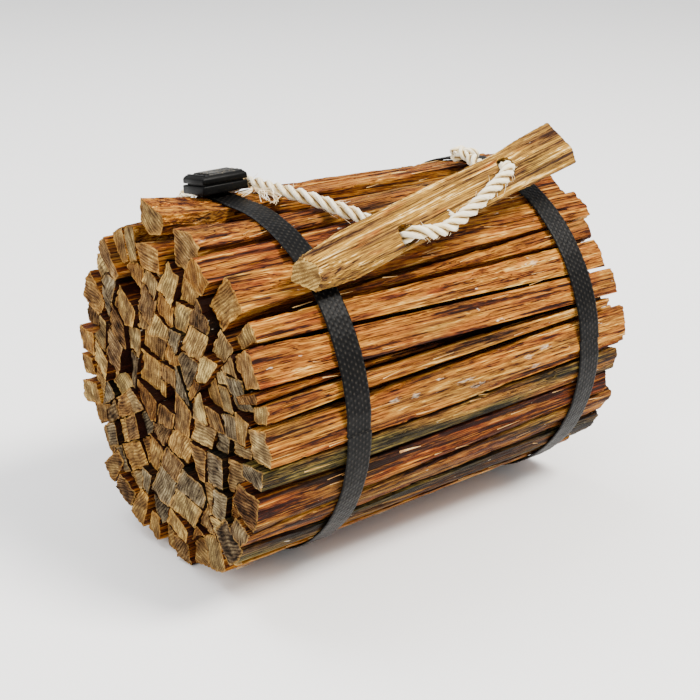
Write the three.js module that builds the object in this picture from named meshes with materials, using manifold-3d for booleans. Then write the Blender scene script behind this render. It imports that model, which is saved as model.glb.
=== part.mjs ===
// A carrying bundle of split kindling: sticks held round by two woven straps with plastic buckles, and a
// rope handle that runs through two holes in a bigger stick and is knotted to both straps.
// Millimetres, +Z up. The bundle lies along X, and the origin is on the ground under its middle.

import * as THREE from 'three';
import Module from 'manifold-3d';
import { mergeVertices } from 'three/addons/utils/BufferGeometryUtils.js';

const wasm = await Module();
wasm.setup();

// Bundle
const AXIS_Z = 80; // height of the bundle's axis
const STICK_RADIUS = 79.6; // the outer edges of the sticks reach this far from the axis
const RING_INNER = [58, 68]; // the inner edges of the outer ring of sticks lie between these
const CORE_RADIUS = 57; // the inner sticks fill this circle
const CORE_END = 106;
const CORE_SIDES = 28;
const BOTTOM_CLEARANCE = 1.1; // the lowest sticks are this far above the ground
const STICK_GAP = 0.22; // degrees left free at each side of a stick
const NEAR_END = -104; // where an even near end would be; each stick is a little longer or shorter
const FAR_END = 104;
const LONGEST_END = 109.5; // the longest stick reaches this far at both ends of the bundle

// Straps
const STRAP_WIDTH = 12.7;
const STRAP_THICKNESS = 0.8;
const STRAP_INNER = 80.0;
const FRONT_STRAP_X = -59.1;
const REAR_STRAP_X = 80.0;
const STRAP_FLAT = 12; // half the width of the flat that the strap rests on
const STRAP_STEP = 6; // degrees between points of a strap's outline
const BENDS_AT = [-66, -52, 87]; // a stick runs straight between these, so it is clear of both straps

// Buckles
const BUCKLE = { across: 23.5, along: 17, lower: 4, groove: 0.7, height: 9.2, lip: 1, teeth: 7 };

// Handle and rope
const HANDLE_START = new THREE.Vector3(-67.9, -58.6, 148.3);
const HANDLE_END = new THREE.Vector3(96.1, -40.0, 174.0);
const HANDLE_FACE = new THREE.Vector3(-0.1, -0.5, 0.85); // the way the broad face looks
const HOLE_RADIUS = 4.3;
const HOLE_SIDES = 16;
const ROPE_RADIUS = 3.15;
const ROPE_SIDES = 10;
const ROPE_STEPS = 78;
const ROPE_GAP = 0.35; // the holes are worn this much wider where the rope bends over their edges

const COLOURS = {
  honey: 0xb07a3c,
  amber: 0xa2672f,
  straw: 0xc29a5e,
  umber: 0x7d5230,
  olive: 0x7c6c47,
  webbing: 0x1b1e21,
  plastic: 0x141516,
  rope: 0xe6dfcd,
};
const STICK_TONES = ['honey', 'amber', 'straw', 'umber', 'olive'];

// A small repeatable random source, so every build gives the same sticks.
function makeRandom(seed) {
  let state = seed;
  return (low, high) => {
    state = (state * 1664525 + 1013904223) % 4294967296;
    return low + (high - low) * (state / 4294967296);
  };
}
const random = makeRandom(2024);

function material(tone, roughness) {
  return new THREE.MeshStandardMaterial({ color: COLOURS[tone], roughness, metalness: 0 });
}

function named(name, geometry, finish) {
  const mesh = new THREE.Mesh(geometry, finish);
  mesh.name = name;
  return mesh;
}

// A point of a section across the bundle: degrees from the top towards -Y, and distance from the axis.
function polar(degrees, radius) {
  const angle = THREE.MathUtils.degToRad(degrees);
  return new THREE.Vector2(-radius * Math.sin(angle), radius * Math.cos(angle));
}

function outlinesOf(sections) {
  return sections.map(({ x, points }) => ({ x, points: points.map((p) => new THREE.Vector2(...p)) }));
}

// A closed body through outlines that stand across X, each with the same number of points. An outline's
// lean tilts its plane: millimetres of X for each millimetre of Y and of Z.
function loft(outlines) {
  const clockwise = THREE.ShapeUtils.area(outlines[0].points) < 0;
  const rings = outlines.map(({ x, points, lean = [0, 0] }) => {
    const ring = clockwise ? [...points].reverse() : points;
    const middle = ring.reduce((sum, p) => sum.add(p), new THREE.Vector2()).divideScalar(ring.length);
    const shift = (p) => lean[0] * (p.x - middle.x) + lean[1] * (p.y - middle.y);
    return { ring, corners: ring.map((p) => [x + shift(p), p.x, p.y]) };
  });
  const count = rings[0].ring.length;
  const last = (rings.length - 1) * count;
  const index = [];
  for (let start = 0; start < last; start += count) {
    for (let i = 0; i < count; i += 1) {
      const j = (i + 1) % count;
      index.push(start + i, start + j, start + count + i);
      index.push(start + j, start + count + j, start + count + i);
    }
  }
  for (const [a, b, c] of THREE.ShapeUtils.triangulateShape(rings[0].ring, [])) index.push(a, c, b);
  const endRing = rings[rings.length - 1].ring;
  for (const [a, b, c] of THREE.ShapeUtils.triangulateShape(endRing, [])) {
    index.push(last + a, last + b, last + c);
  }
  const geometry = new THREE.BufferGeometry();
  const corners = rings.flatMap((ring) => ring.corners.flat());
  geometry.setAttribute('position', new THREE.Float32BufferAttribute(corners, 3));
  geometry.setIndex(index);
  geometry.computeVertexNormals();
  return geometry;
}

// Turns an extrusion of a section drawn in Y and Z so that it runs along X from x.
function alongX(geometry, x) {
  const right = new THREE.Vector3(0, 1, 0);
  const up = new THREE.Vector3(0, 0, 1);
  const out = new THREE.Vector3(1, 0, 0);
  geometry.applyMatrix4(new THREE.Matrix4().makeBasis(right, up, out));
  return geometry.translate(x, 0, 0);
}

// ---- Outer sticks ----

// The value at x of three values that stand at the near end, the front strap and the far end.
function between([near, strap, far], x) {
  if (x < FRONT_STRAP_X) {
    return THREE.MathUtils.mapLinear(x, NEAR_END, FRONT_STRAP_X, near, strap);
  }
  return THREE.MathUtils.mapLinear(x, FRONT_STRAP_X, FAR_END, strap, far);
}

// Near the bottom of the bundle the sticks stop at the level that it rests on. Further round than this
// cosine allows, that level lies outside them.
const BOTTOM_COSINE = 0.5;

// A stick's section at x: two sides that slant a few degrees from the bundle's radii, an outer face of two
// flats that meet in a ridge, and a flat inner face.
function stickSection({ from, to, outer, inner, ridge = 0.5, drop = [1, 1], slant = [0, 0] }, x) {
  const start = between(from, x) + STICK_GAP;
  const end = between(to, x) - STICK_GAP;
  const reach = between(outer, x);
  const limit = (degrees) => {
    const fromBottom = THREE.MathUtils.degToRad(180 - degrees);
    return (AXIS_Z - BOTTOM_CLEARANCE) / Math.max(BOTTOM_COSINE, Math.cos(fromBottom));
  };
  const top = (degrees, radius) => polar(degrees, Math.min(radius, limit(degrees)));
  const middle = THREE.MathUtils.lerp(start, end, ridge);
  return [
    polar(start + slant[0] + 0.3, inner),
    top(start, reach - drop[0]),
    top(middle, reach),
    top(end, reach - drop[1]),
    polar(end + slant[1] - 0.3, inner),
  ];
}

function stickGeometry(stick) {
  const [nearX, farX] = stick.ends;
  const stations = [nearX, ...BENDS_AT.filter((x) => x > nearX + 3 && x < farX - 3), farX];
  const outlines = stations.map((x) => ({ x, points: stickSection(stick, x) }));
  const squareCut = Math.max(-nearX, farX) >= LONGEST_END;
  outlines[0].lean = squareCut ? [0, 0] : [random(-0.12, 0.12), random(-0.12, 0.12)];
  outlines[outlines.length - 1].lean = squareCut ? [0, 0] : [random(-0.12, 0.12), random(-0.12, 0.12)];
  return loft(outlines);
}

const R = STICK_RADIUS;

// The sticks on the side that shows, from the top down. A row holds the degrees where the stick starts and
// where it ends, each at the near end, the front strap and the far end; how far out it reaches at the same
// three places; the X of its two ends; where its ridge lies, as a share of its width; and how much lower
// than the ridge its two edges are.
const SHOWN_STICKS = [
  [[5.8, 8.2, 6.5], [19.2, 18.4, 17.6], [82, R, R], [-100.3, 104], 0.62, [1.5, 3]],
  [[20.0, 20.4, 18.2], [32.4, 31.2, 29.8], [79, 78.6, R], [-105.5, 103], 0.2, [1.5, 2.5]],
  [[33.0, 31.8, 30.4], [45.6, 43.8, 41.6], [81, R, R], [-100.6, 107.5], 0.35, [1, 1.5]],
  [[44.6, 44.6, 42.2], [46, 47.4, 50.2], [76, 76.5, R], [-49.5, 100.5], 0.4, [1.5, 1]],
  [[48.2, 48.4, 50.8], [55.2, 56.4, 61.4], [80, R, R], [-99.2, 101], 0.4, [1, 1.5]],
  [[55.8, 57.2, 62.0], [68.4, 68.5, 71.2], [81, R, R], [-105, 104.5], 0.15, [1.2, 1]],
  [[69.0, 69.0, 71.3], [72.8, 71.7, 71.5], [77, 76, 74], [-105.5, -8], 0.5, [1, 2]],
  [[73.2, 72.3, 71.6], [79.6, 78.0, 74.8], [79, 78.6, R], [-102.6, 97.5], 0.4, [1, 2.5]],
  [[80.1, 80.2, 75.8], [92.3, 92.3, 89.8], [80.4, R, R], [-104.8, 107.5], 0.7, [2.2, 1.2]],
  [[92.8, 92.9, 90.3], [100.4, 100.6, 99.3], [79, R, R], [-107, 101.5], 0.3, [0.8, 2]],
  [[103.2, 102.8, 99.8], [115.4, 113.4, 108.3], [80, R, R], [-108.2, 99], 0.75, [2.6, 1]],
  [[116.0, 114.8, 108.8], [124.8, 125.8, 120.3], [79, R, R], [-LONGEST_END, 105.5], 0.3, [0.6, 2]],
  [[125.4, 126.4, 120.8], [139, 138.6, 136.2], [79, R, R], [-107.5, 107], 0.5, [1, 1]],
].map(([from, to, outer, ends, ridge, drop]) => ({ from, to, outer, ends, ridge, drop }));

// The same for the side that turns away: a row of sticks of uneven width between two angles.
function rowOfSticks(first, last, count, options = {}) {
  const shares = Array.from({ length: count }, () => random(0.78, 1.25));
  const total = shares.reduce((sum, share) => sum + share, 0);
  let at = first;
  return shares.map((share, i) => {
    const start = at;
    at = i === count - 1 ? last : start + ((last - first) * share) / total;
    const wedge = () => random(0.05, 1.1);
    return {
      from: [start + wedge(), start + wedge(), start + wedge()],
      to: [at - wedge(), at - wedge(), at - wedge()],
      outer: [random(78.4, R), R, random(78.6, R)],
      ends: [random(-107.5, -99.5), random(99.5, 107.5)],
      ridge: random(0.15, 0.85),
      drop: [random(0.3, 2), random(0.3, 2)],
      ...options,
    };
  });
}

function hiddenSticks() {
  const flatFaced = { outer: [R, R, R], drop: [0, 0], ridge: 0.5 };
  return [
    ...rowOfSticks(138.9, 171.3, 3),
    { ...flatFaced, from: [171.8, 171.6, 171.4], to: [180, 180, 180], ends: [-103, 102] },
    { ...flatFaced, from: [180, 180, 180], to: [188.2, 188.4, 188.6], ends: [-101, LONGEST_END] },
    ...rowOfSticks(188.7, 339.0, 14),
  ];
}

// The stick that lies highest: its near end stands proud of the others and it crosses them a little askew,
// so that its upper face is level under the front buckle.
const RAISED_STICK = [
  { x: -103.6, points: [[14.2, 88.6], [15, 77], [8, 73], [-1.2, 75], [-4.3, 80.4], [-3.5, 84.3]] },
  { x: -66, points: [[26.6, 79.6], [25.5, 73], [18, 69], [8, 68.5], [2.6, 72], [2.2, 79.3]] },
  { x: -52, points: [[26.6, 79.6], [25.5, 73], [18, 69], [8, 68.5], [2.6, 72], [2.2, 79.3]] },
  { x: 87, points: [[20.6, 76.4], [20, 70], [13, 66], [4, 66], [-0.6, 70], [-1, 79]] },
  { x: 102, points: [[20, 76.6], [19.5, 70], [13, 66], [4, 66], [-1, 70], [-1.4, 79]] },
];

function raisedStickGeometry() {
  return loft(outlinesOf(RAISED_STICK));
}

// Short pieces that fill the wedges beside and under the raised stick: degrees from and to, how far out
// they reach, the X of their ends, and how far in they reach.
const FILLER_STICKS = [
  [[-20.4, -20.4, -20.4], [-12.8, -20.2, -20.2], [78, 77, 77], [-106, -84], 62],
  [[-11.5, -11, -11], [4, 6, 6], [71, 67, 66], [-106.5, -50], 59],
].map(([from, to, outer, ends, inner]) => ({ from, to, outer, ends, inner }));

// Gives each stick of the ring its depth, and each seam between two neighbours a slant that both share.
function shapeRing(ring) {
  const width = (stick) => Math.min(...stick.to.map((end, i) => end - stick.from[i]));
  const steepest = (stick) => Math.min(3.6, 0.28 * width(stick));
  ring.forEach((stick, i) => {
    stick.inner = random(...RING_INNER);
    const next = ring[i + 1];
    const limit = next ? Math.min(steepest(stick), steepest(next)) : 0;
    const slant = random(-limit, limit);
    stick.slant = [i ? ring[i - 1].slant[1] : 0, slant];
  });
  return ring;
}

function sticks() {
  const group = new THREE.Group();
  group.position.z = AXIS_Z;
  const geometries = [raisedStickGeometry()];
  for (const stick of [...shapeRing([...SHOWN_STICKS, ...hiddenSticks()]), ...FILLER_STICKS]) {
    geometries.push(stickGeometry(stick));
  }
  geometries.forEach((geometry, i) => {
    const tone = STICK_TONES[Math.floor(random(0, STICK_TONES.length))];
    group.add(named(`stick_${String(i + 1).padStart(2, '0')}`, geometry, material(tone, 0.8)));
  });
  return group;
}

// One solid of the outer shape of all the sticks that lie inside the ring.
function coreSticks() {
  const geometry = new THREE.CylinderGeometry(CORE_RADIUS, CORE_RADIUS, 2 * CORE_END, CORE_SIDES);
  const mesh = named('core_sticks', geometry.rotateZ(Math.PI / 2), material('olive', 0.85));
  mesh.position.z = AXIS_Z;
  return mesh;
}

// ---- Straps and buckles ----

// The convex outline round a circle and some corners outside it, in order from the bottom.
function hull(points) {
  const sorted = [...points].sort((p, q) => p.x - q.x || p.y - q.y);
  const half = (ordered) => {
    const kept = [];
    for (const p of ordered) {
      while (kept.length > 1) {
        const [a, b] = kept.slice(-2);
        if ((b.x - a.x) * (p.y - a.y) - (b.y - a.y) * (p.x - a.x) > 1e-9) break;
        kept.pop();
      }
      kept.push(p);
    }
    return kept.slice(0, -1);
  };
  return [...half(sorted), ...half(sorted.reverse())];
}

function strapOutline(growth, corners) {
  const points = corners.map(([y, z]) => new THREE.Vector2(y, z));
  const floor = BOTTOM_CLEARANCE - 0.3 - AXIS_Z - growth;
  points.push(new THREE.Vector2(-STRAP_FLAT, floor), new THREE.Vector2(STRAP_FLAT, floor));
  for (let degrees = 0; degrees < 360; degrees += STRAP_STEP) {
    const p = polar(degrees, STRAP_INNER + growth);
    if (p.y > floor) points.push(p);
  }
  return hull(points);
}

// A band round the bundle: a circle with a flat where it rests, drawn out by the corners it runs over.
function strapGeometry(x, inner = [], outer = []) {
  const shape = new THREE.Shape(strapOutline(STRAP_THICKNESS, outer));
  shape.holes.push(new THREE.Path(strapOutline(0, inner)));
  const geometry = new THREE.ExtrudeGeometry(shape, { depth: STRAP_WIDTH, bevelEnabled: false });
  return alongX(geometry, x - STRAP_WIDTH / 2);
}

function straps() {
  const group = new THREE.Group();
  group.position.z = AXIS_Z;
  const front = strapGeometry(FRONT_STRAP_X, [[27.2, 80.2]], [[27.6, 81.0]]);
  group.add(named('front_strap', front, material('webbing', 0.7)));
  group.add(named('rear_strap', strapGeometry(REAR_STRAP_X), material('webbing', 0.7)));
  return group;
}

// The side of a buckle, drawn along the strap and up: a base, a groove where the locking plate closes on
// it, and the plate, with a toothed back and bevelled ends.
function buckleGeometry() {
  const { across, along, lower, groove, height, lip, teeth } = BUCKLE;
  const end = along / 2;
  const outline = [[-end + 0.8, 0], [end + lip - 0.8, 0], [end + lip, 0.8], [end + lip, lower - 0.6]];
  outline.push([end + lip - 0.6, lower], [end - 1.2, lower]);
  outline.push([end - 1.2, lower + groove], [end, lower + groove]);
  outline.push([end, height - 3], [end - 2.6, height - 0.5]);
  const [firstTooth, lastTooth] = [end - 3.4, -end + 3];
  for (let i = 0; i < teeth; i += 1) {
    const y = THREE.MathUtils.mapLinear(i, 0, teeth - 1, firstTooth, lastTooth);
    outline.push([y, height], [y - 0.9, height - 0.6]);
  }
  outline.push([-end + 1.2, height - 0.3], [-end, height - 1.8], [-end, lower + groove]);
  outline.push([-end + 0.8, lower + groove], [-end + 0.8, lower], [-end, lower], [-end, 0.8]);
  const shape = new THREE.Shape(outline.map(([y, z]) => new THREE.Vector2(y, z)));
  const geometry = new THREE.ExtrudeGeometry(shape, { depth: across, bevelEnabled: false });
  return alongX(geometry, -across / 2);
}

function buckle(name, x, y, z, tilt) {
  const mesh = named(name, buckleGeometry(), material('plastic', 0.45));
  mesh.position.set(x, y, z);
  mesh.rotation.x = THREE.MathUtils.degToRad(tilt);
  return mesh;
}

function buckles() {
  const group = new THREE.Group();
  group.add(buckle('front_buckle', FRONT_STRAP_X, 23, AXIS_Z + 82.1, -8));
  const rearAngle = 50;
  const seat = polar(-rearAngle, STRAP_INNER + STRAP_THICKNESS + 1.0);
  group.add(buckle('rear_buckle', REAR_STRAP_X, seat.x, AXIS_Z + seat.y, -rearAngle));
  return group;
}

// ---- Handle ----

// Sections of the handle stick, in its own frame: X along it, Y across its broad face, Z out of that face.
const HANDLE_SECTIONS = [
  { x: -4.5, points: [[3.6, 5.6], [-4.8, 7], [-9.2, 3.4], [-10, -3.2], [2.4, -6.4], [4.6, 0.5]] },
  { x: 18, points: [[5.6, 6.6], [-7.5, 7], [-13, 3.6], [-12.4, -5.5], [3.5, -7.2], [7.6, -0.4]] },
  { x: 46, points: [[6.0, 6.8], [-9, 6.8], [-14, 2], [-11, -5.6], [4.5, -5.4], [8.4, -0.6]] },
  { x: 78, points: [[6.6, 6.8], [-10, 6.6], [-14.4, 0.6], [-10, -6.6], [4.5, -7], [8.8, -0.6]] },
  { x: 118, points: [[6.8, 6.8], [-8.6, 6.4], [-13.6, 0.4], [-9.5, -6.4], [5, -6.6], [9, -0.8]] },
  { x: 163, points: [[8.8, 7.2], [-9.6, 6], [-14.4, 0], [-9.8, -6.8], [6.2, -7], [11.2, 0]] },
];
// Where the axis of each hole leaves the underside and the broad face.
const HANDLE_HOLES = [
  [[39.5, -4.6, -12], [49.5, -11.6, 12]],
  [[126.5, 4.4, -12], [117.5, -3.6, 12]],
];

// The rod that cuts a hole is longer than the stick is thick, so the hole goes right through.
function holeGeometry([[x0, y0, z0], [x1, y1, z1]]) {
  const [bottom, top] = [new THREE.Vector3(x0, y0, z0), new THREE.Vector3(x1, y1, z1)];
  const direction = top.clone().sub(bottom);
  const geometry = new THREE.CylinderGeometry(HOLE_RADIUS, HOLE_RADIUS, direction.length(), HOLE_SIDES);
  const turn = new THREE.Quaternion().setFromUnitVectors(new THREE.Vector3(0, 1, 0), direction.normalize());
  geometry.applyQuaternion(turn);
  const middle = bottom.add(top).multiplyScalar(0.5);
  return geometry.translate(middle.x, middle.y, middle.z);
}

function solidOf(geometry) {
  const bare = geometry.clone();
  bare.deleteAttribute('normal');
  bare.deleteAttribute('uv');
  const merged = mergeVertices(bare, 1e-4);
  const vertProperties = merged.attributes.position.array;
  return new wasm.Manifold(new wasm.Mesh({ numProp: 3, vertProperties, triVerts: merged.index.array }));
}

function geometryOf(solid) {
  const { vertProperties, triVerts } = solid.getMesh();
  const geometry = new THREE.BufferGeometry();
  geometry.setAttribute('position', new THREE.BufferAttribute(vertProperties, 3));
  geometry.setIndex(new THREE.BufferAttribute(triVerts, 1));
  geometry.computeVertexNormals();
  return geometry;
}

function handleStick() {
  const outlines = outlinesOf(HANDLE_SECTIONS);
  outlines[0].lean = [-0.15, 0.3];
  outlines[outlines.length - 1].lean = [0.1, -0.25];
  let solid = solidOf(loft(outlines));
  for (const hole of HANDLE_HOLES) solid = solid.subtract(solidOf(holeGeometry(hole)));
  const mesh = named('handle_stick', new THREE.BufferGeometry(), material('honey', 0.75));
  const along = HANDLE_END.clone().sub(HANDLE_START).normalize();
  const face = HANDLE_FACE.clone().addScaledVector(along, -HANDLE_FACE.dot(along)).normalize();
  const across = face.clone().cross(along);
  mesh.quaternion.setFromRotationMatrix(new THREE.Matrix4().makeBasis(along, across, face));
  mesh.position.copy(HANDLE_START);
  mesh.updateMatrix();
  const wear = ropeTube(ROPE_RADIUS + ROPE_GAP).applyMatrix4(mesh.matrix.clone().invert());
  mesh.geometry = geometryOf(solid.subtract(solidOf(wear)));
  return mesh;
}

// ---- Rope ----

// The route of the rope's middle, from the front knot to the rear one: past the buckle, over the sticks,
// under the handle, up through its first hole, along its face and down through the second.
const ROPE_ROUTE = [
  [-52.7, 41.5, 155.0], [-48.2, 36.2, 157.4], [-44.4, 32.0, 159.8], [-42.4, 27.6, 162.4],
  [-40.9, 20.5, 163.3], [-39.8, 11.0, 163.3], [-39.0, 2.0, 163.5], [-36.5, -8.5, 163.0],
  [-32.4, -18.0, 161.4], [-27.4, -27.2, 158.8], [-22.2, -34.0, 156.1], [-19.6, -40.4, 152.8],
  [-20.8, -46.8, 149.0], [-23.1, -52.0, 146.6], [-24.4, -56.4, 147.2], [-22.8, -60.7, 151.4],
  [-20.7, -64.6, 155.0], [-17.0, -67.8, 156.3], [-10.8, -68.6, 155.2], [-2.2, -67.4, 155.1],
  [7.7, -66.1, 157.7], [17.4, -64.9, 161.2], [26.1, -63.4, 165.2], [34.6, -61.1, 168.0],
  [41.1, -58.5, 170.1], [45.8, -54.8, 171.3], [49.2, -50.0, 170.2], [51.8, -44.7, 167.3],
  [54.2, -39.4, 163.8], [57.0, -33.6, 161.7], [60.0, -26.0, 161.4], [63.2, -18.0, 162.6],
  [66.4, -9.4, 164.2],
];

function ropeTube(radius) {
  const section = new THREE.Shape();
  for (let i = 0; i < ROPE_SIDES; i += 1) {
    const angle = (i * 2 * Math.PI) / ROPE_SIDES;
    section[i ? 'lineTo' : 'moveTo'](radius * Math.cos(angle), radius * Math.sin(angle));
  }
  section.closePath();
  const route = new THREE.CatmullRomCurve3(ROPE_ROUTE.map((point) => new THREE.Vector3(...point)));
  return new THREE.ExtrudeGeometry(section, { steps: ROPE_STEPS, extrudePath: route, bevelEnabled: false });
}

// A knot is one closed solid of the outer shape of its turns of rope, drawn tight on a strap.
function knot(name, [x, y, z], [width, length, height], turn) {
  const geometry = new THREE.SphereGeometry(1, 12, 8).rotateX(Math.PI / 2).scale(width, length, height);
  const mesh = named(name, geometry, material('rope', 0.9));
  mesh.position.set(x, y, z);
  mesh.rotation.x = THREE.MathUtils.degToRad(turn);
  return mesh;
}

function ropeAndKnots() {
  const group = new THREE.Group();
  group.add(named('handle_rope', ropeTube(ROPE_RADIUS), material('rope', 0.9)));
  group.add(knot('front_knot', [-57.5, 47.4, 153.2], [7, 6.6, 5.2], -33));
  group.add(knot('rear_knot', [68.2, -1.2, 164.5], [5.6, 7.4, 4.5], 0));
  return group;
}

const kindlingBundle = new THREE.Group();
kindlingBundle.add(sticks(), coreSticks(), straps(), buckles(), handleStick(), ropeAndKnots());

export default kindlingBundle;
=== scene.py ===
"""The looks of a carrying bundle of split kindling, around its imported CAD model.

Some hundred split sticks of resinous softwood are held round by two woven straps with plastic
buckles. A rope runs from one strap to the other through two holes in a bigger stick, which is
the carrying handle. Metres, +Z up; the bundle lies along X with its visible side towards -Y.
"""

import logging
import math
from collections.abc import Callable, Iterator, Sequence
from contextlib import contextmanager
from dataclasses import dataclass, field, replace
from enum import Enum

import bmesh
import bpy
import numpy as np
from mathutils import Matrix, Vector


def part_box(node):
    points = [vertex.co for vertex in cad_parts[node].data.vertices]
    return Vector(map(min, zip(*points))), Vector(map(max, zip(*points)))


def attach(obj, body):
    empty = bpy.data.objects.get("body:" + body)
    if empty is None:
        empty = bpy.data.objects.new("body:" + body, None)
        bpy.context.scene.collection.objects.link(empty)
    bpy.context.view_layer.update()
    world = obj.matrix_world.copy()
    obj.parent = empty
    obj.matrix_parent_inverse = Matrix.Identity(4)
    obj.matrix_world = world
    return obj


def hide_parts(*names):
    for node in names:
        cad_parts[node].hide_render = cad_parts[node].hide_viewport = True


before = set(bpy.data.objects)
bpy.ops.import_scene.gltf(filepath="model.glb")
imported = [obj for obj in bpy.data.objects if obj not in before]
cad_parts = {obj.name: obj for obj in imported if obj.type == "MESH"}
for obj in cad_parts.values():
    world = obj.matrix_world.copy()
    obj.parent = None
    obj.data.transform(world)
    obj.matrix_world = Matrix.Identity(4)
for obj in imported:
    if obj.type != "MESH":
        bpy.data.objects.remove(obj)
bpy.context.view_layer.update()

Piece = bpy.types.Object
Mesh = bpy.types.Mesh
Material = bpy.types.Material
Tree = bpy.types.NodeTree
Socket = bpy.types.NodeSocket
Rng = np.random.Generator
Place = Sequence[float]  # three coordinates
Polygon = np.ndarray  # corners in order, one row of Y and Z for each, mm
Surface = tuple[object, object, Socket | None]  # a finish's colour, roughness and height
Stops = Sequence[tuple[float, str]]  # a colour ramp's places from 0 to 1 and their hex colours

LOG = logging.getLogger("kindling_bundle")
MM = 0.001
BODY = "root"
AXIS_Z = 80.0  # height of the bundle's axis, mm


# ---------------------------------------------------------------- numbers and noise


def linear(hex_colour: str) -> tuple[float, float, float, float]:
    """Turn an sRGB hex colour into linear red, green, blue and alpha.

    Args:
        hex_colour: Six hex digits, such as "b07a3c".

    Returns:
        The linear colour, with alpha 1.
    """
    channels = [int(hex_colour[i : i + 2], 16) / 255 for i in (0, 2, 4)]
    values = [c / 12.92 if c <= 0.04045 else ((c + 0.055) / 1.055) ** 2.4 for c in channels]
    return (*values, 1.0)


def _lattice(cells: np.ndarray, seed: int) -> np.ndarray:
    """Give each whole-numbered cell a fixed value from -1 to 1.

    Args:
        cells: Whole numbers, one row of three for each point.
        seed: Which set of values to use.

    Returns:
        One value for each row.
    """
    mixed = cells.astype(np.uint64) * np.array([73856093, 19349663, 83492791], np.uint64)
    value = mixed[:, 0] ^ mixed[:, 1] ^ mixed[:, 2] ^ np.uint64(seed * 2654435761 + 1013)
    for _ in range(2):
        value = (value ^ (value >> np.uint64(15))) * np.uint64(2246822519)
        value &= np.uint64(0xFFFFFFFF)
    return value.astype(float) / 2147483647.5 - 1.0


def noise(points: np.ndarray, scale: Sequence[float], seed: int, octaves: int = 1) -> np.ndarray:
    """Smooth noise at points of space.

    Args:
        points: One row of three coordinates for each point.
        scale: The size of the noise's features along each coordinate, in the points' units.
        seed: Which noise to use.
        octaves: How many layers, each half as big and half as strong as the one before.

    Returns:
        A value from about -1 to 1 for each point.
    """
    total = np.zeros(len(points))
    strength = 1.0
    for octave in range(octaves):
        at = points / np.asarray(scale, float) * 2.0**octave + 1000.0
        cell = np.floor(at)
        part = at - cell
        part = part * part * (3 - 2 * part)
        base = cell.astype(np.int64)
        for corner in range(8):
            offset = np.array([corner & 1, corner >> 1 & 1, corner >> 2])
            weight = np.prod(np.where(offset == 1, part, 1 - part), axis=1)
            total += strength * weight * _lattice(base + offset, seed + 31 * octave)
        strength *= 0.5
    return total


def smoothstep(low: float, high: float, value: np.ndarray) -> np.ndarray:
    """Rise smoothly from 0 at low to 1 at high.

    Args:
        low: Where the rise starts.
        high: Where it ends.
        value: The values to map.

    Returns:
        The mapped values.
    """
    share = np.clip((value - low) / (high - low), 0, 1)
    return share * share * (3 - 2 * share)


# ---------------------------------------------------------------- mesh helpers


def select_none() -> None:
    """Leave edit mode and deselect every object."""
    if bpy.context.object and bpy.context.object.mode != "OBJECT":
        bpy.ops.object.mode_set(mode="OBJECT")
    bpy.ops.object.select_all(action="DESELECT")


def make_active(piece: Piece) -> None:
    """Select one object alone and make it the active one."""
    select_none()
    piece.select_set(True)
    bpy.context.view_layer.objects.active = piece


def coordinates(mesh: Mesh) -> np.ndarray:
    """Read a mesh's vertices, one row of three for each."""
    values = np.empty(len(mesh.vertices) * 3)
    mesh.vertices.foreach_get("co", values)
    return values.reshape(-1, 3)


def set_coordinates(mesh: Mesh, points: np.ndarray) -> None:
    """Write a mesh's vertices, one row of three for each."""
    mesh.vertices.foreach_set("co", np.asarray(points, float).ravel())
    mesh.update()


def add_attribute(mesh: Mesh, name: str, values: np.ndarray) -> None:
    """Store a value for each vertex.

    Args:
        mesh: The mesh to store it on.
        name: The attribute's name, which materials read.
        values: One number, or one row of three, for each vertex.
    """
    values = np.asarray(values, float)
    kind, key = ("FLOAT", "value") if values.ndim == 1 else ("FLOAT_VECTOR", "vector")
    stored = mesh.attributes.new(name, kind, "POINT")
    stored.data.foreach_set(key, values.ravel())


def join(pieces: Sequence[Piece], name: str) -> Piece:
    """Join pieces into one; the first one's materials come first.

    Args:
        pieces: Mesh objects.
        name: The joined piece's name.

    Returns:
        The joined piece.
    """
    select_none()
    for piece in pieces:
        piece.select_set(True)
    bpy.context.view_layer.objects.active = pieces[0]
    bpy.ops.object.join()
    joined = bpy.context.object
    joined.name = joined.data.name = name
    return joined


def settle(piece: Piece) -> Piece:
    """Move a piece's place into its mesh, so that the object sits at the origin unturned."""
    make_active(piece)
    bpy.ops.object.transform_apply(location=True, rotation=True, scale=True)
    return piece


def apply_modifiers(piece: Piece) -> None:
    """Apply every modifier of a piece, in order."""
    make_active(piece)
    for modifier in list(piece.modifiers):
        bpy.ops.object.modifier_apply(modifier=modifier.name)


@contextmanager
def editing(piece: Piece) -> Iterator[Mesh]:
    """Edit one piece with all of its mesh selected, and leave edit mode afterwards."""
    make_active(piece)
    bpy.ops.object.mode_set(mode="EDIT")
    bpy.ops.mesh.select_all(action="SELECT")
    yield piece.data
    bpy.ops.object.mode_set(mode="OBJECT")


def pick(mesh: Mesh, kind: str, wanted: Callable[[object], bool]) -> None:
    """Select part of a mesh that is being edited.

    Args:
        mesh: The mesh.
        kind: "EDGE" or "FACE".
        wanted: Tells whether an edge or face is selected.
    """
    bpy.ops.mesh.select_mode(type=kind)
    bpy.ops.mesh.select_all(action="DESELECT")
    shape = bmesh.from_edit_mesh(mesh)
    for element in shape.edges if kind == "EDGE" else shape.faces:
        element.select = wanted(element)
    bmesh.update_edit_mesh(mesh)


def face_outwards(piece: Piece, merge: float = 0.0) -> None:
    """Turn every face of a piece outwards, first joining vertices closer than a distance in m."""
    with editing(piece):
        if merge:
            bpy.ops.mesh.remove_doubles(threshold=merge)
        bpy.ops.mesh.normals_make_consistent(inside=False)


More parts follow.
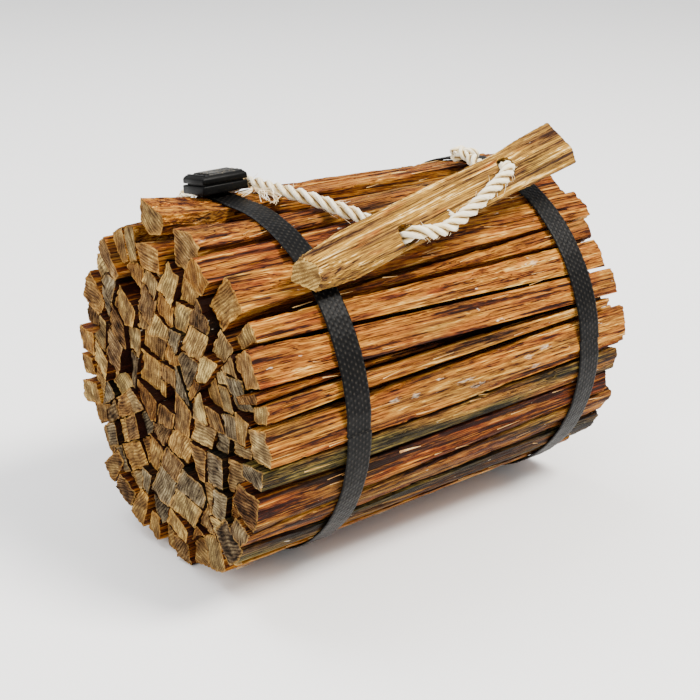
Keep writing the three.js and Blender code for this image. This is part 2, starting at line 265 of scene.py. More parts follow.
def copy_piece(piece: Piece, name: str) -> Piece:
    """Copy a piece with a mesh of its own."""
    copied = piece.copy()
    copied.data = piece.data.copy()
    copied.name = copied.data.name = name
    bpy.context.scene.collection.objects.link(copied)
    return copied


def dress(piece: Piece, *materials: Material) -> None:
    """Give a piece its materials, in slot order, in place of those it has."""
    slots = piece.data.materials
    for i, material in enumerate(materials):
        if i < len(slots):
            slots[i] = material
        else:
            slots.append(material)


def hand_over(piece: Piece, degrees: float, node: str = "") -> None:
    """Smooth a piece's shading and tie it to the frame.

    Args:
        piece: The piece.
        degrees: Edges that bend less than this are shaded smooth.
        node: The CAD node that it stands for, if any.
    """
    make_active(piece)
    bpy.ops.object.shade_smooth_by_angle(angle=math.radians(degrees))
    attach(piece, BODY)
    if node:
        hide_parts(node)


# ---------------------------------------------------------------- material helpers


def feed(tree: Tree, node: bpy.types.Node, values: dict) -> None:
    """Link sockets to a node's inputs, or set the inputs to plain values.

    Args:
        tree: The node tree.
        node: The node.
        values: Output sockets or plain values, by the name or number of the input they feed.
    """
    for name, value in values.items():
        if isinstance(value, Socket):
            tree.links.new(value, node.inputs[name])
        else:
            node.inputs[name].default_value = value


def add_node(tree: Tree, kind: str, values: dict | None = None, **settings: object) -> bpy.types.Node:
    """Add a shader node with its settings and links.

    Args:
        tree: The node tree.
        kind: The node's type, without the leading "ShaderNode".
        values: What feeds its inputs.
        settings: The node's own properties, by name.

    Returns:
        The node.
    """
    node = tree.nodes.new("ShaderNode" + kind)
    for name, value in settings.items():
        setattr(node, name, value)
    feed(tree, node, values or {})
    return node


def attribute(tree: Tree, name: str, output: str = "Vector") -> Socket:
    """Read an attribute of the vertices."""
    return add_node(tree, "Attribute", attribute_name=name).outputs[output]


def axes_of(tree: Tree, vector: Socket) -> list[Socket]:
    """Take a vector apart into X, Y and Z."""
    return list(add_node(tree, "SeparateXYZ", {"Vector": vector}).outputs)


def ramp(tree: Tree, factor: Socket, stops: Stops) -> Socket:
    """Add a colour ramp and return its colour."""
    node = add_node(tree, "ValToRGB", {"Fac": factor})
    elements = node.color_ramp.elements
    while len(elements) < len(stops):
        elements.new(1.0)
    for element, (place, colour) in zip(elements, stops):
        element.position = place
        element.color = linear(colour)
    return node.outputs["Color"]


def math_node(tree: Tree, operation: str, *values: object, clamp: bool = False) -> Socket:
    """Add a Math node on one to three values and return its output."""
    return add_node(tree, "Math", dict(enumerate(values)), operation=operation, use_clamp=clamp).outputs[0]


def vector_node(tree: Tree, operation: str, *values: object) -> bpy.types.Node:
    """Add a Vector Math node on one or two vectors."""
    return add_node(tree, "VectorMath", dict(enumerate(values)), operation=operation)


def layered(tree: Tree, start: float, *layers: tuple[Socket, float], clamp: bool = False) -> Socket:
    """Add up layers.

    Args:
        tree: The node tree.
        start: The value they are added to.
        layers: Each layer's value and how strongly it counts.
        clamp: Whether the sum is held from 0 to 1.

    Returns:
        The sum.
    """
    total = start
    for number, (value, share) in enumerate(layers, 1):
        held = clamp and number == len(layers)
        total = math_node(tree, "MULTIPLY_ADD", value, share, total, clamp=held)
    return total


def mix_colours(tree: Tree, factor: Socket, first: Socket | str, second: Socket | str) -> Socket:
    """Add a colour mix.

    Args:
        tree: The node tree.
        factor: How much of the second colour shows.
        first: The first colour, as a socket or a hex string.
        second: The second colour, likewise.

    Returns:
        The colour output.
    """
    first, second = (linear(c) if isinstance(c, str) else c for c in (first, second))
    return add_node(tree, "Mix", {0: factor, 6: first, 7: second}, data_type="RGBA").outputs[2]


def stretched_noise(tree: Tree, place: Socket, size: Sequence[float], detail: float = 2.0) -> Socket:
    """Add noise whose features have a given size along each axis.

    Args:
        tree: The node tree.
        place: Coordinates in millimetres.
        size: The features' size along each axis, in millimetres.
        detail: The noise's detail.

    Returns:
        The noise's value, about 0 to 1.
    """
    mapping = add_node(tree, "Mapping", {"Vector": place, "Scale": [1 / s for s in size]})
    values = {"Vector": mapping.outputs[0], "Scale": 1.0, "Detail": detail}
    return add_node(tree, "TexNoise", values).outputs["Fac"]


# ---------------------------------------------------------------- finishes


@dataclass(frozen=True)
class Finish:
    """What each finish has: a skin that is more or less dull, and a fine relief."""

    name: str
    roughness: float = 0.8
    ior: float = 1.5
    gloss: float = 0.5
    sheen: float = 0.0
    relief: float = 0.0  # m
    strength: float = 1.0  # of the relief

    def build(self) -> Material:
        """Make the material.

        Returns:
            The material.
        """
        material = bpy.data.materials.new(self.name)
        material.use_nodes = True
        tree = material.node_tree
        colour, rough, height = self._surface(tree)
        values = {"Base Color": colour, "Roughness": rough, "IOR": self.ior}
        values |= {"Specular IOR Level": self.gloss, "Sheen Weight": self.sheen}
        if self.relief:
            links = {"Height": height, "Distance": self.relief, "Strength": self.strength}
            values["Normal"] = add_node(tree, "Bump", links).outputs["Normal"]
        feed(tree, tree.nodes["Principled BSDF"], values)
        return material

    def _surface(self, tree: Tree) -> Surface:
        """Work out the surface.

        Args:
            tree: The material's nodes.

        Returns:
            Its colour, its roughness, and the height of its relief or None.
        """
        raise NotImplementedError


class WhitePaper(Finish):
    """A seamless paper floor."""

    def _surface(self, tree: Tree) -> Surface:
        """Work out the surface: one plain colour."""
        return linear("fafafa"), self.roughness, None


class Tone(Enum):
    """The tones that split resinous softwood takes, by how fresh, fat or weathered it is."""

    HONEY = (0.50, 0.50, 0.05)
    AMBER = (0.72, 0.42, 0.05)
    STRAW = (0.30, 0.66, 0.12)
    UMBER = (0.60, 0.28, 0.30)
    OLIVE = (0.22, 0.40, 0.75)


# Split faces from their darkest fibres to their palest, weathered and soaked with resin.
WEATHERED_FACE = [(0.0, "0d0a04"), (0.2, "2b2410"), (0.45, "4d421e"), (0.7, "736029"), (1.0, "b59c55")]
FAT_FACE = [(0.0, "1f0a05"), (0.2, "401708"), (0.45, "6c320f"), (0.7, "965018"), (1.0, "c78e42")]
FRESH_STOPS = (0.0, 0.14, 0.34, 0.54, 0.78, 0.92, 1.0)
HANDLE_GOLDS = ("2e190c", "52351a", "704e23", "8a6428", "a5792c", "caa04c", "e0c48c")

# End grain from the bottom of its growth lines to its torn fibres.
END_STOPS = (0.0, 0.18, 0.42, 0.62, 0.82, 1.0)
KHAKI_END = ("100a05", "332414", "524028", "685434", "806b42", "b79c5d")
WARM_END = ("130804", "3b220d", "613c19", "7d5525", "9a7136", "cda14f")
DUSTY_END = [(0.0, "0d0b08"), (0.25, "322c24"), (0.6, "5e5747"), (1.0, "a09780")]

# Dried resin on the seen sticks: the middle of each mark and half its length, mm.
RESIN_MARKS = [
    (-27, -78, 88, 5), (-38, -78, 88.5, 6), (2, -78, 87.5, 12), (8, -78, 84, 10), (41, -78, 89, 6),
    (52, -78, 91, 8), (45, -78, 84, 9), (-97, -20, 156, 6), (56, -63, 127, 5),
]
RESIN_DEPTH = 6.0  # half a mark's size into the bundle, mm
RESIN_RISE = 2.2  # half its height, mm


@dataclass(frozen=True)
class RingedSoftwood(Finish):
    """Resinous softwood with its growth rings."""

    ior: float = 1.53
    ring_spacing: float = 1.9  # mm

    def _ring(self, tree: Tree, place: Socket, size: Sequence[float], bend: float) -> Socket:
        """How far each point lies through its growth ring.

        Args:
            tree: The material's nodes.
            place: The place in the wood, mm.
            size: How long the rings run before they bend, mm.
            bend: How far they bend, mm.

        Returns:
            0 at the ring's start to 1 at its end.
        """
        wander = stretched_noise(tree, place, size, detail=1.0)
        bent = math_node(tree, "MULTIPLY_ADD", wander, bend, axes_of(tree, place)[1])
        return math_node(tree, "FRACT", math_node(tree, "DIVIDE", bent, self.ring_spacing))


@dataclass(frozen=True)
class SplitSoftwood(RingedSoftwood):
    """Faces split along the grain: long torn fibres, with a dull waxy glint where resin has come
    out. Reads the vertices' wood place, in mm, and their tone."""

    name: str = "split_softwood_face"
    roughness: float = 0.62
    gloss: float = 0.07  # torn fibres shade their own reflections
    relief: float = 0.00035
    shade: float = 0.0  # how far the whole face is darkened; the inner sticks' faces take it as painted shade of the gaps
    contrast: float = 1.0
    golds: tuple[str, ...] = ("230c04", "4a1e08", "784413", "975e1f", "b27a2b", "c69342", "dab56d")

    def _surface(self, tree: Tree) -> Surface:
        """Work out the surface: fibres, painted shade along the split cracks, tones of wood, and resin
        dried on it.
        """
        place = attribute(tree, "wood")
        red, light, grey = axes_of(tree, attribute(tree, "tone"))
        fine = stretched_noise(tree, place, (34.0, 0.42, 0.42))
        streak = stretched_noise(tree, place, (100.0, 1.4, 1.4), detail=3.0)
        broad = stretched_noise(tree, place, (45.0, 3.6, 3.6))
        ripple = stretched_noise(tree, place, (4.5, 0.7, 0.7))
        split = stretched_noise(tree, place, (48.0, 1.0, 1.0), detail=1.0)
        mottle = stretched_noise(tree, place, (22.0, 4.0, 4.0))
        patch = stretched_noise(tree, place, (60.0, 11.0, 11.0), detail=1.0)
        band = math_node(tree, "POWER", self._ring(tree, place, (140.0, 30.0, 30.0), 8.0), 2.5)
        # The crevice darkens the body along each split line: painted shade in the crack, beside its bump.
        off_line = math_node(tree, "ABSOLUTE", math_node(tree, "SUBTRACT", split, 0.5))
        crevice = layered(tree, 1.0, (off_line, -26.0), clamp=True)

        grain = ((streak, 1.7), (fine, 1.15), (ripple, 0.75), (broad, 1.3))
        body = layered(tree, -2.3 - self.shade, *grain, (light, 0.6), (band, -0.12), (crevice, -0.4))
        body = layered(tree, (1 - self.contrast) / 2, (body, self.contrast), clamp=True)
        fresh = ramp(tree, body, list(zip(FRESH_STOPS, self.golds)))
        reddish = layered(tree, -3.0, (mottle, 5.0), (red, 1.1), clamp=True)
        weathered = layered(tree, -1.45, (patch, 2.4), (grey, 1.25), clamp=True)
        colour = mix_colours(tree, reddish, fresh, ramp(tree, body, FAT_FACE))
        colour = mix_colours(tree, weathered, colour, ramp(tree, body, WEATHERED_FACE))
        colour = mix_colours(tree, self._resin(tree, place), colour, "e6d9c0")
        rough = layered(tree, self.roughness - 0.17, (streak, 0.34))
        height = layered(tree, 0.0, (streak, 0.9), (fine, 0.8), (band, -0.12), (crevice, -0.9))
        return colour, rough, height

    def _resin(self, tree: Tree, place: Socket) -> Socket:
        """How thickly dried resin lies, in the marks and in small scattered flecks.

        Args:
            tree: The material's nodes.
            place: The place in the wood, mm.

        Returns:
            0 on bare wood, more under resin.
        """
        bloom = stretched_noise(tree, place, (8.0, 2.6, 2.6), detail=3.0)
        fleck = stretched_noise(tree, place, (2.2, 0.55, 0.55))
        found = layered(tree, -6.0, (bloom, 9.0), clamp=True)
        on_bundle = add_node(tree, "TexCoord").outputs["Object"]
        for x, y, z, half in RESIN_MARKS:
            away = vector_node(tree, "SUBTRACT", on_bundle, (x * MM, y * MM, z * MM)).outputs[0]
            sizes = (1 / (half * MM), 1 / (RESIN_DEPTH * MM), 1 / (RESIN_RISE * MM))
            shrunk = vector_node(tree, "MULTIPLY", away, sizes).outputs[0]
            length = vector_node(tree, "LENGTH", shrunk).outputs["Value"]
            found = math_node(tree, "MAXIMUM", found, layered(tree, 0.78, (length, -0.6), clamp=True))
        crust = math_node(tree, "MULTIPLY", found, fleck)
        return math_node(tree, "MULTIPLY", layered(tree, -0.75, (crust, 3.2), clamp=True), 0.8)


@dataclass(frozen=True)
class SplitEndGrain(RingedSoftwood):
    """Ends broken and sawn across the grain: dull khaki, crossed by fine parallel growth lines, with a
    pale, warm rim of torn fibres and painted highlight. Reads the vertices' wood place, tone and rim."""

    name: str = "softwood_end_grain"
    roughness: float = 0.85
    gloss: float = 0.03
    relief: float = 0.0004
    ring_spacing: float = 1.5
    lightness: float = 0.0  # how far the whole end is lightened
    warmth: float = 0.0  # how far it turns from khaki to brown

    def _surface(self, tree: Tree) -> Surface:
        """Work out the surface: growth lines and grit, warm or dusty wood, and the pale rim, torn fibres
        with a painted highlight.
        """
        place = attribute(tree, "wood")
        rim = attribute(tree, "rim", "Fac")
        red, light, grey = axes_of(tree, attribute(tree, "tone"))
        turn = self._ring(tree, place, (120.0, 16.0, 16.0), 7.0)
        line = math_node(tree, "PINGPONG", math_node(tree, "MULTIPLY", turn, 2.0), 1.0)
        line = math_node(tree, "POWER", line, 1.6)
        grit = stretched_noise(tree, place, (30.0, 0.45, 0.45), detail=3.0)
        stripe = stretched_noise(tree, place, (60.0, 0.9, 7.0))
        blotch = stretched_noise(tree, place, (60.0, 5.0, 5.0))
        torn = stretched_noise(tree, place, (3.0, 1.2, 1.2))

        grain = ((line, -0.24), (grit, 0.85), (stripe, 0.75), (blotch, 1.3), (light, 0.8))
        value = layered(tree, self.lightness - 1.21, *grain, clamp=True)
        khaki = ramp(tree, value, list(zip(END_STOPS, KHAKI_END)))
        warm = ramp(tree, value, list(zip(END_STOPS, WARM_END)))
        # Warmer and paler towards the rim: torn fibres, and a painted highlight of the lit edge.
        lit_rim_warmth = math_node(tree, "POWER", rim, 5.0)
        warmth = layered(tree, self.warmth - 0.32, (red, 1.3), (lit_rim_warmth, 0.8), clamp=True)
        colour = mix_colours(tree, warmth, khaki, warm)
        dusty = layered(tree, 0.0, (grey, 0.75), clamp=True)
        colour = mix_colours(tree, dusty, colour, ramp(tree, value, DUSTY_END))
        edge = math_node(tree, "MULTIPLY", math_node(tree, "POWER", rim, 6.0), torn)
        colour = mix_colours(tree, layered(tree, -0.25, (edge, 1.3), clamp=True), colour, "c79a50")
        return colour, self.roughness, layered(tree, 0.0, (grit, 0.5), (line, -0.9), (stripe, 0.8))


@dataclass(frozen=True)
class WovenWebbing(Finish):
    """Black polypropylene webbing: tight flat yarns with a cool, slightly greasy sheen. Reads the
    strap's own UV map, in mm along and across, and its yarns' height, which paints glints on the crowns."""

    name: str = "woven_polypropylene_webbing"
    roughness: float = 0.42
    ior: float = 1.49
    gloss: float = 0.1
    relief: float = 0.00006
    strength: float = 0.8

    def _surface(self, tree: Tree) -> Surface:
        """Work out the surface: black yarns with painted glints on their crowns, and a little dust."""
        place = add_node(tree, "UVMap", uv_map="UVMap").outputs["UV"]
        filament = stretched_noise(tree, place, (2.0, 0.12, 1.0))
        dust = stretched_noise(tree, place, (9.0, 6.0, 1.0), detail=4.0)
        value = layered(tree, 0.0, (filament, 0.3), (attribute(tree, "yarn", "Fac"), 0.75))
        # The crowns take the pale top stop: painted glints on black yarns.
        colour = ramp(tree, value, [(0.35, "010101"), (0.8, "060607"), (1.05, "403b33")])
        dusty = math_node(tree, "MULTIPLY", layered(tree, -0.85, (dust, 1.6), clamp=True), 0.05)
        colour = mix_colours(tree, dusty, colour, "6d6455")
        return colour, layered(tree, self.roughness - 0.12, (filament, 0.25)), filament


@dataclass(frozen=True)
class MouldedPlastic(Finish):
    """Black injection-moulded acetal: a fine satin skin with smears, and dusty."""

    name: str = "moulded_acetal"
    roughness: float = 0.38
    ior: float = 1.48
    gloss: float = 0.09
    relief: float = 0.00005
    strength: float = 0.6
    # How thickly pale dust specks lie; set high on the ribs, they also stand in as painted glints.
    dust: float = 0.02

    def _surface(self, tree: Tree) -> Surface:
        """Work out the surface, on Object coordinates: smears, specks of dust and a fine grain."""
        place = vector_node(tree, "MULTIPLY", add_node(tree, "TexCoord").outputs["Object"], (1 / MM,) * 3)
        speck, smear, grain = (
            stretched_noise(tree, place.outputs[0], (size,) * 3, detail)
            for size, detail in ((0.9, 4.0), (5.0, 3.0), (0.35, 2.0))
        )
        dust = math_node(tree, "MULTIPLY", layered(tree, -3.9, (speck, 7.0), clamp=True), self.dust)
        colour = ramp(tree, smear, [(0.3, "020202"), (0.8, "070707")])
        colour = mix_colours(tree, dust, colour, "8a806a")
        return colour, layered(tree, self.roughness - 0.15, (smear, 0.4)), grain


@dataclass(frozen=True)
class TwistedCotton(Finish):
    """Undyed cotton rope: soft matt cream yarns, painted darker in the lay between the strands as shade.
    Reads the rope's own place along and round it, and its lay."""

    name: str = "twisted_cotton_rope"
    roughness: float = 0.9
    ior: float = 1.53
    gloss: float = 0.1
    sheen: float = 0.1
    relief: float = 0.0003
    strength: float = 0.9

    def _surface(self, tree: Tree) -> Surface:
        """Work out the surface: yarns with painted shade in the valleys and cream on the crests."""
        place = attribute(tree, "yarn_place")
        yarn = stretched_noise(tree, place, (3.5, 0.33, 1.0))
        shade = stretched_noise(tree, place, (14.0, 9.0, 1.0))
        # The crest lightens the yarns and the valleys take the darkest stops: painted shade between the
        # strands.
        layers = ((yarn, 0.9), (attribute(tree, "crest", "Fac"), 0.75), (shade, 0.5))
        value = layered(tree, -0.66, *layers, clamp=True)
        stops = [(0.0, "5a4122"), (0.18, "a58652"), (0.36, "d8c08b"), (0.6, "f2e5c2"), (1.0, "fff8e6")]
        return ramp(tree, value, stops), self.roughness, yarn


@dataclass(frozen=True)
class PaleFibre(Finish):
    """Loose slivers of wood and wisps of cotton: thin, pale and dry."""

    name: str = "dry_pale_fibre"
    dark: str = "9a672c"
    pale: str = "dcb572"

    def _surface(self, tree: Tree) -> Surface:
        """Work out the surface, on Object coordinates: patches of two colours."""
        place = add_node(tree, "TexCoord").outputs["Object"]
        patches = add_node(tree, "TexNoise", {"Vector": place, "Scale": 160.0, "Detail": 2.0})
        share = layered(tree, -1.1, (patches.outputs["Fac"], 3.0), clamp=True)
        return mix_colours(tree, share, self.dark, self.pale), self.roughness, None


# ---------------------------------------------------------------- the billet that pieces start from


@dataclass
class Billet:
    """A plain round billet, modelled once: its copies are drawn out to sticks, ropes and threads."""

    around: int
    along: int
    cap_rings: int
    template: Piece = field(init=False)
    turn: np.ndarray = field(init=False)
    step: np.ndarray = field(init=False)
    inset: np.ndarray = field(init=False)

    def __post_init__(self) -> None:
        """Model the billet and note where each of its vertices belongs."""
        select_none()
        bpy.ops.mesh.primitive_cylinder_add(
            vertices=self.around, radius=1, depth=1, end_fill_type="NGON", location=(0, 0, 0.5)
        )
        self.template = settle(bpy.context.object)
        with editing(self.template) as mesh:
            pick(mesh, "EDGE", lambda edge: abs(edge.verts[0].co.z - edge.verts[1].co.z) > 0.5)
            bpy.ops.mesh.subdivide(number_cuts=self.along - 1)
            for end in (0.0, 1.0):
                self._cut_cap(mesh, end)
        self._number_vertices()
        for face in self.template.data.polygons:
            face.material_index = int(abs(face.normal.z) > 0.5)

    def _cut_cap(self, mesh: Mesh, end: float) -> None:
        """Inset the end face at a height of 0 or 1 again and again, then close it to a point."""
        pick(
            mesh,
            "FACE",
            lambda face: len(face.verts) == self.around and abs(face.calc_center_median().z - end) < 0.1,
        )
        apothem = math.cos(math.pi / self.around)
        for _ in range(self.cap_rings):
            bpy.ops.mesh.inset(thickness=apothem / (self.cap_rings + 1), depth=0)
        bpy.ops.mesh.poke()

    def _number_vertices(self) -> None:
        """Work out each vertex's place round, along and in from the rim."""
        points = coordinates(self.template.data)
        radius = np.hypot(points[:, 0], points[:, 1])
        angle = np.arctan2(points[:, 0], points[:, 1]) / (2 * math.pi)
        self.turn = np.round(angle * self.around).astype(int) % self.around
        self.step = np.round(points[:, 2] * self.along).astype(int)
        self.inset = np.round((1 - radius) * (self.cap_rings + 1)).astype(int)

    @property
    def share(self) -> np.ndarray:
        """How far each vertex lies from the middle, against the rim."""
        return 1 - self.inset / (self.cap_rings + 1)

    def wrap(self, name: str, line: np.ndarray, angle: np.ndarray, radius: np.ndarray) -> Piece:
        """Draw a copy out round a curve.

        Args:
            name: The copy's name.
            line: The curve, mm, with one point for each step.
            angle: Each vertex's direction across the curve, in radians.
            radius: Each vertex's distance from it, mm.

        Returns:
            The copy.
        """
        first, second = (ways[self.step] for ways in carried_frames(line))
        offset = first * np.cos(angle)[:, None] + second * np.sin(angle)[:, None]
        piece = copy_piece(self.template, name)
        set_coordinates(piece.data, (line[self.step] + offset * radius[:, None]) * MM)
        return piece

    def discard(self) -> None:
        """Remove the template when every copy is made."""
        bpy.data.objects.remove(self.template)


@dataclass
class StickPlan:
    """The shape of one stick before its surface is roughened, in mm.

    The rows of corners go round the stick; stations are where its sections stand along X, and the
    lean of an end gives X for each mm of Y and Z from the section's middle.
    """

    stations: list[float]
    corners: np.ndarray  # (stations, corners, 2), Y and Z
    near_lean: tuple[float, float] = (0.0, 0.0)
    far_lean: tuple[float, float] = (0.0, 0.0)

    def section(self, x: float) -> np.ndarray:
        """The corners at a place along the stick.

        Args:
            x: The place, mm.

        Returns:
            One row of Y and Z for each corner.
        """
        at = np.interp(x, self.stations, np.arange(len(self.stations)))
        low = min(int(at), len(self.stations) - 2)
        share = at - low
        return (1 - share) * self.corners[low] + share * self.corners[low + 1]


def plan_from_node(node: str) -> StickPlan:
    """Read a stick's sections from its CAD node.

    Args:
        node: The node's name.

    Returns:
        The stick's plan.
    """
    points = np.unique(np.round(coordinates(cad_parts[node].data) / MM, 3), axis=0)
    order = points[np.argsort(points[:, 0])]
    groups: list[list[np.ndarray]] = [[order[0]]]
    for point in order[1:]:
        if point[0] - groups[-1][0][0] > 5.0:
            groups.append([])
        groups[-1].append(point)
    rings = []
    for group in groups:
        ring = np.array(group)
        middle = ring[:, 1:].mean(0)
        angle = np.arctan2(ring[:, 2] - middle[1], ring[:, 1] - middle[0])
        rings.append(ring[np.argsort(angle)])
    count = max(len(ring) for ring in rings)
    rings = [ring for ring in rings if len(ring) == count]
    for i in range(1, len(rings)):
        shape = rings[i - 1][:, 1:] - rings[i - 1][:, 1:].mean(0)
        here = rings[i][:, 1:] - rings[i][:, 1:].mean(0)
        costs = [np.sum((np.roll(here, k, axis=0) - shape) ** 2) for k in range(count)]
        rings[i] = np.roll(rings[i], int(np.argmin(costs)), axis=0)
    return StickPlan(
        stations=[float(ring[:, 0].mean()) for ring in rings],
        corners=np.array([ring[:, 1:] for ring in rings]),
        near_lean=_lean(rings[0]),
        far_lean=_lean(rings[-1]),
    )


def _lean(ring: np.ndarray) -> tuple[float, float]:
    """How an end face leans.

    Args:
        ring: The corners of the end, X, Y and Z.

    Returns:
        X for each mm of Y and of Z.
    """
    offsets = ring - ring.mean(0)
    slopes, *_ = np.linalg.lstsq(offsets[:, 1:], offsets[:, 0], rcond=None)
    return float(slopes[0]), float(slopes[1])


@dataclass
class Roughness:
    """How rough one stick's split surface is, in mm."""

    flute: float  # depth of the lengthwise grooves
    flute_width: float
    tear: float  # depth of the ragged tears
    edge: float  # how far the edges are worn and chipped
    end: float  # relief of the end faces


@dataclass
class StickMaker:
    """Draws copies of a billet out to split sticks: flutes and torn fibres along them, chipped
    edges, rough ends, and the wood's own grain place and tone for the materials."""

    billet: Billet
    outer_share: float = 1.0  # how densely the inner faces are covered, against the outer ones
    crowding: float = 0.35  # how much closer the rings of vertices stand at the ends

    def make(
        self,
        name: str,
        plan: StickPlan,
        rough: Roughness,
        tone: Sequence[float],
        seed: int,
        layers: float | None = None,
    ) -> Piece:
        """Make one stick.

        Args:
            name: The piece's name.
            plan: Its sections.
            rough: How rough its surface is.
            tone: How red, light and weathered it is, each 0 to 1.
            seed: Its own random seed.
            layers: The direction across its growth layers, in radians, or None for any.

        Returns:
            The stick.
        """
        rng = np.random.default_rng(seed)
        billet = self.billet
        xs = self._stations(plan)
        sections = np.array([plan.section(x) for x in xs])
        side, travel, cornerness = self._spread(sections)
        middle = side.mean(axis=1, keepdims=True)

        # One row of vertices for each step along, before any relief.
        ring = side[billet.step, billet.turn]
        centre = middle[billet.step, 0]
        flat = centre + (ring - centre) * billet.share[:, None]
        x = xs[billet.step]
        offset = flat - centre
        near, far = billet.step == 0, billet.step == billet.along
        spread = np.clip((x - xs[0]) / (xs[-1] - xs[0]), 0, 1)
        lean = np.outer(1 - spread, plan.near_lean) + np.outer(spread, plan.far_lean)
        x = x + np.sum(lean * offset, axis=1)

        outward = self._outward(side)[billet.step, billet.turn]
        length_round = travel[billet.step, billet.turn]
        corner = cornerness[billet.step, billet.turn]
        grain = np.column_stack([x, length_round, np.full(len(x), seed * 3.7)])
        depth = self._relief(grain, corner, rough, seed, length_round.max()) * billet.share
        flat = flat - outward * depth[:, None]

        wood = self._wood(x, flat, rng.uniform(0, math.pi) if layers is None else layers, rng)
        ends = near | far
        inward = np.where(near, 1.0, -1.0)
        x = x + np.where(ends, inward * self._end_relief(wood, billet.inset == 0, rough, seed), 0)

        piece = copy_piece(billet.template, name)
        set_coordinates(piece.data, np.column_stack([x, flat]) * MM)
        add_attribute(piece.data, "wood", wood)
        add_attribute(piece.data, "tone", np.tile(np.asarray(tone, float), (len(x), 1)))
        add_attribute(piece.data, "rim", billet.share * ends)
        return piece

    def _wood(self, x: np.ndarray, flat: np.ndarray, layers: float, rng: Rng) -> np.ndarray:
        """Where each vertex lay in the tree that the stick was split from.

        Args:
            x: Each vertex's place along the stick, mm.
            flat: Its Y and Z, mm.
            layers: The direction across the growth layers, in radians.
            rng: The random source.

        Returns:
            The place along the grain, across the growth layers and along them, mm.
        """
        cos, sin = math.cos(layers), math.sin(layers)
        start = rng.uniform(-400, 400, 3)
        skewed = flat + np.outer(x, rng.uniform(-0.03, 0.03, 2))
        return np.column_stack([x, skewed @ np.array([[cos, -sin], [sin, cos]])]) + start

    def _stations(self, plan: StickPlan) -> np.ndarray:
        """Where the rings of vertices stand along the stick, closer together near its ends."""
        share = np.linspace(0, 1, self.billet.along + 1)
        eased = share - self.crowding * np.sin(2 * math.pi * share) / (2 * math.pi)
        return plan.stations[0] + (plan.stations[-1] - plan.stations[0]) * eased

    def _spread(self, sections: np.ndarray) -> tuple[np.ndarray, np.ndarray, np.ndarray]:
        """Spread the billet's vertices round each section, with one on every corner.

        Args:
            sections: The corners of each section, Y and Z.

        Returns:
            The vertices of each section, how far round each lies in mm, and 1 at a corner
            falling to 0 away from it.
        """
        count = sections.shape[1]
        following = np.roll(sections, -1, axis=1)
        lengths = np.linalg.norm(following - sections, axis=2).mean(0)
        radius = np.hypot(sections[..., 0], sections[..., 1] - AXIS_Z).mean(0)
        outer = (radius + np.roll(radius, -1)) / 2
        weight = lengths * np.where(outer > outer.max() - 6, 1.0, self.outer_share)
        shares = weight / weight.sum() * self.billet.around
        numbers = np.maximum(2, np.floor(shares)).astype(int)
        while numbers.sum() > self.billet.around:
            numbers[np.argmax(numbers - shares)] -= 1
        while numbers.sum() < self.billet.around:
            numbers[np.argmin(numbers - shares)] += 1
        points, travels, cornered = [], [], []
        run = 0.0
        for i in range(count):
            part = np.arange(numbers[i]) / numbers[i]
            a, b = sections[:, i, None, :], following[:, i, None, :]
            points.append(a + (b - a) * part[None, :, None])
            travels.append(run + part * lengths[i])
            nearest = np.minimum(part, 1 - part) * lengths[i]
            cornered.append(np.exp(-((nearest / 0.9) ** 2)))
            run += lengths[i]
        rows = len(sections)
        travel = np.tile(np.concatenate(travels), (rows, 1))
        cornerness = np.tile(np.concatenate(cornered), (rows, 1))
        return np.concatenate(points, axis=1), travel, cornerness

    def _outward(self, side: np.ndarray) -> np.ndarray:
        """The way out of the stick at each vertex of its sections."""
        tangent = np.roll(side, -2, axis=1) - np.roll(side, 2, axis=1)
        normal = np.stack([tangent[..., 1], -tangent[..., 0]], axis=2)
        normal /= np.linalg.norm(normal, axis=2, keepdims=True) + 1e-9
        away = side - side.mean(axis=1, keepdims=True)
        flip = np.sign(np.sum(normal * away, axis=2).sum())
        return normal * flip

    def _relief(
        self, grain: np.ndarray, corner: np.ndarray, rough: Roughness, seed: int, run: float
    ) -> np.ndarray:
        """How far the surface lies inside the plain section.

        Args:
            grain: Each vertex's place along and round the stick, in mm.
            corner: 1 on an edge of the stick, falling to 0 away from it.
            rough: How rough the stick is.
            seed: The stick's own seed.
            run: The distance round the stick, mm.

        Returns:
            The depth at each vertex, mm.
        """
        w = rough.flute_width
        wave = noise(grain, (90, w, 1), seed + 1, 2)
        groove = smoothstep(0.22, 0.0, np.abs(noise(grain, (80, w * 1.2, 1), seed + 2)))
        step = smoothstep(-0.05, 0.05, noise(grain, (55, 2.4 * w, 1), seed + 3)) - 0.5
        tear = smoothstep(0.3, 0.6, noise(grain, (10, 1.3, 1), seed + 4, 2))
        crack = smoothstep(0.10, 0.0, np.abs(noise(grain, (60, 4.0, 1), seed + 5)))
        crack = crack * smoothstep(0.15, 0.5, noise(grain, (35, 9, 1), seed + 6))
        chip = 0.5 + 0.5 * noise(grain, (3.0, 6, 1), seed + 7, 3)
        bite = smoothstep(0.4, 0.65, noise(grain, (7, 8, 1), seed + 8, 2))
        depth = rough.flute * (0.15 + 0.55 * wave + 0.7 * groove + 0.5 * step)
        depth += rough.tear * (tear + 1.6 * crack)
        depth += rough.edge * corner * (0.05 + 0.5 * chip + 1.5 * bite)
        depth += 0.09 * noise(grain, (6, 0.8, 1), seed + 9)
        # The run round the stick ends where it began, so the relief fades out on both sides of there.
        seam = np.minimum(grain[:, 1], run - grain[:, 1])
        fade = smoothstep(0.0, 2.5, seam)
        return np.maximum(depth, -0.25) * fade

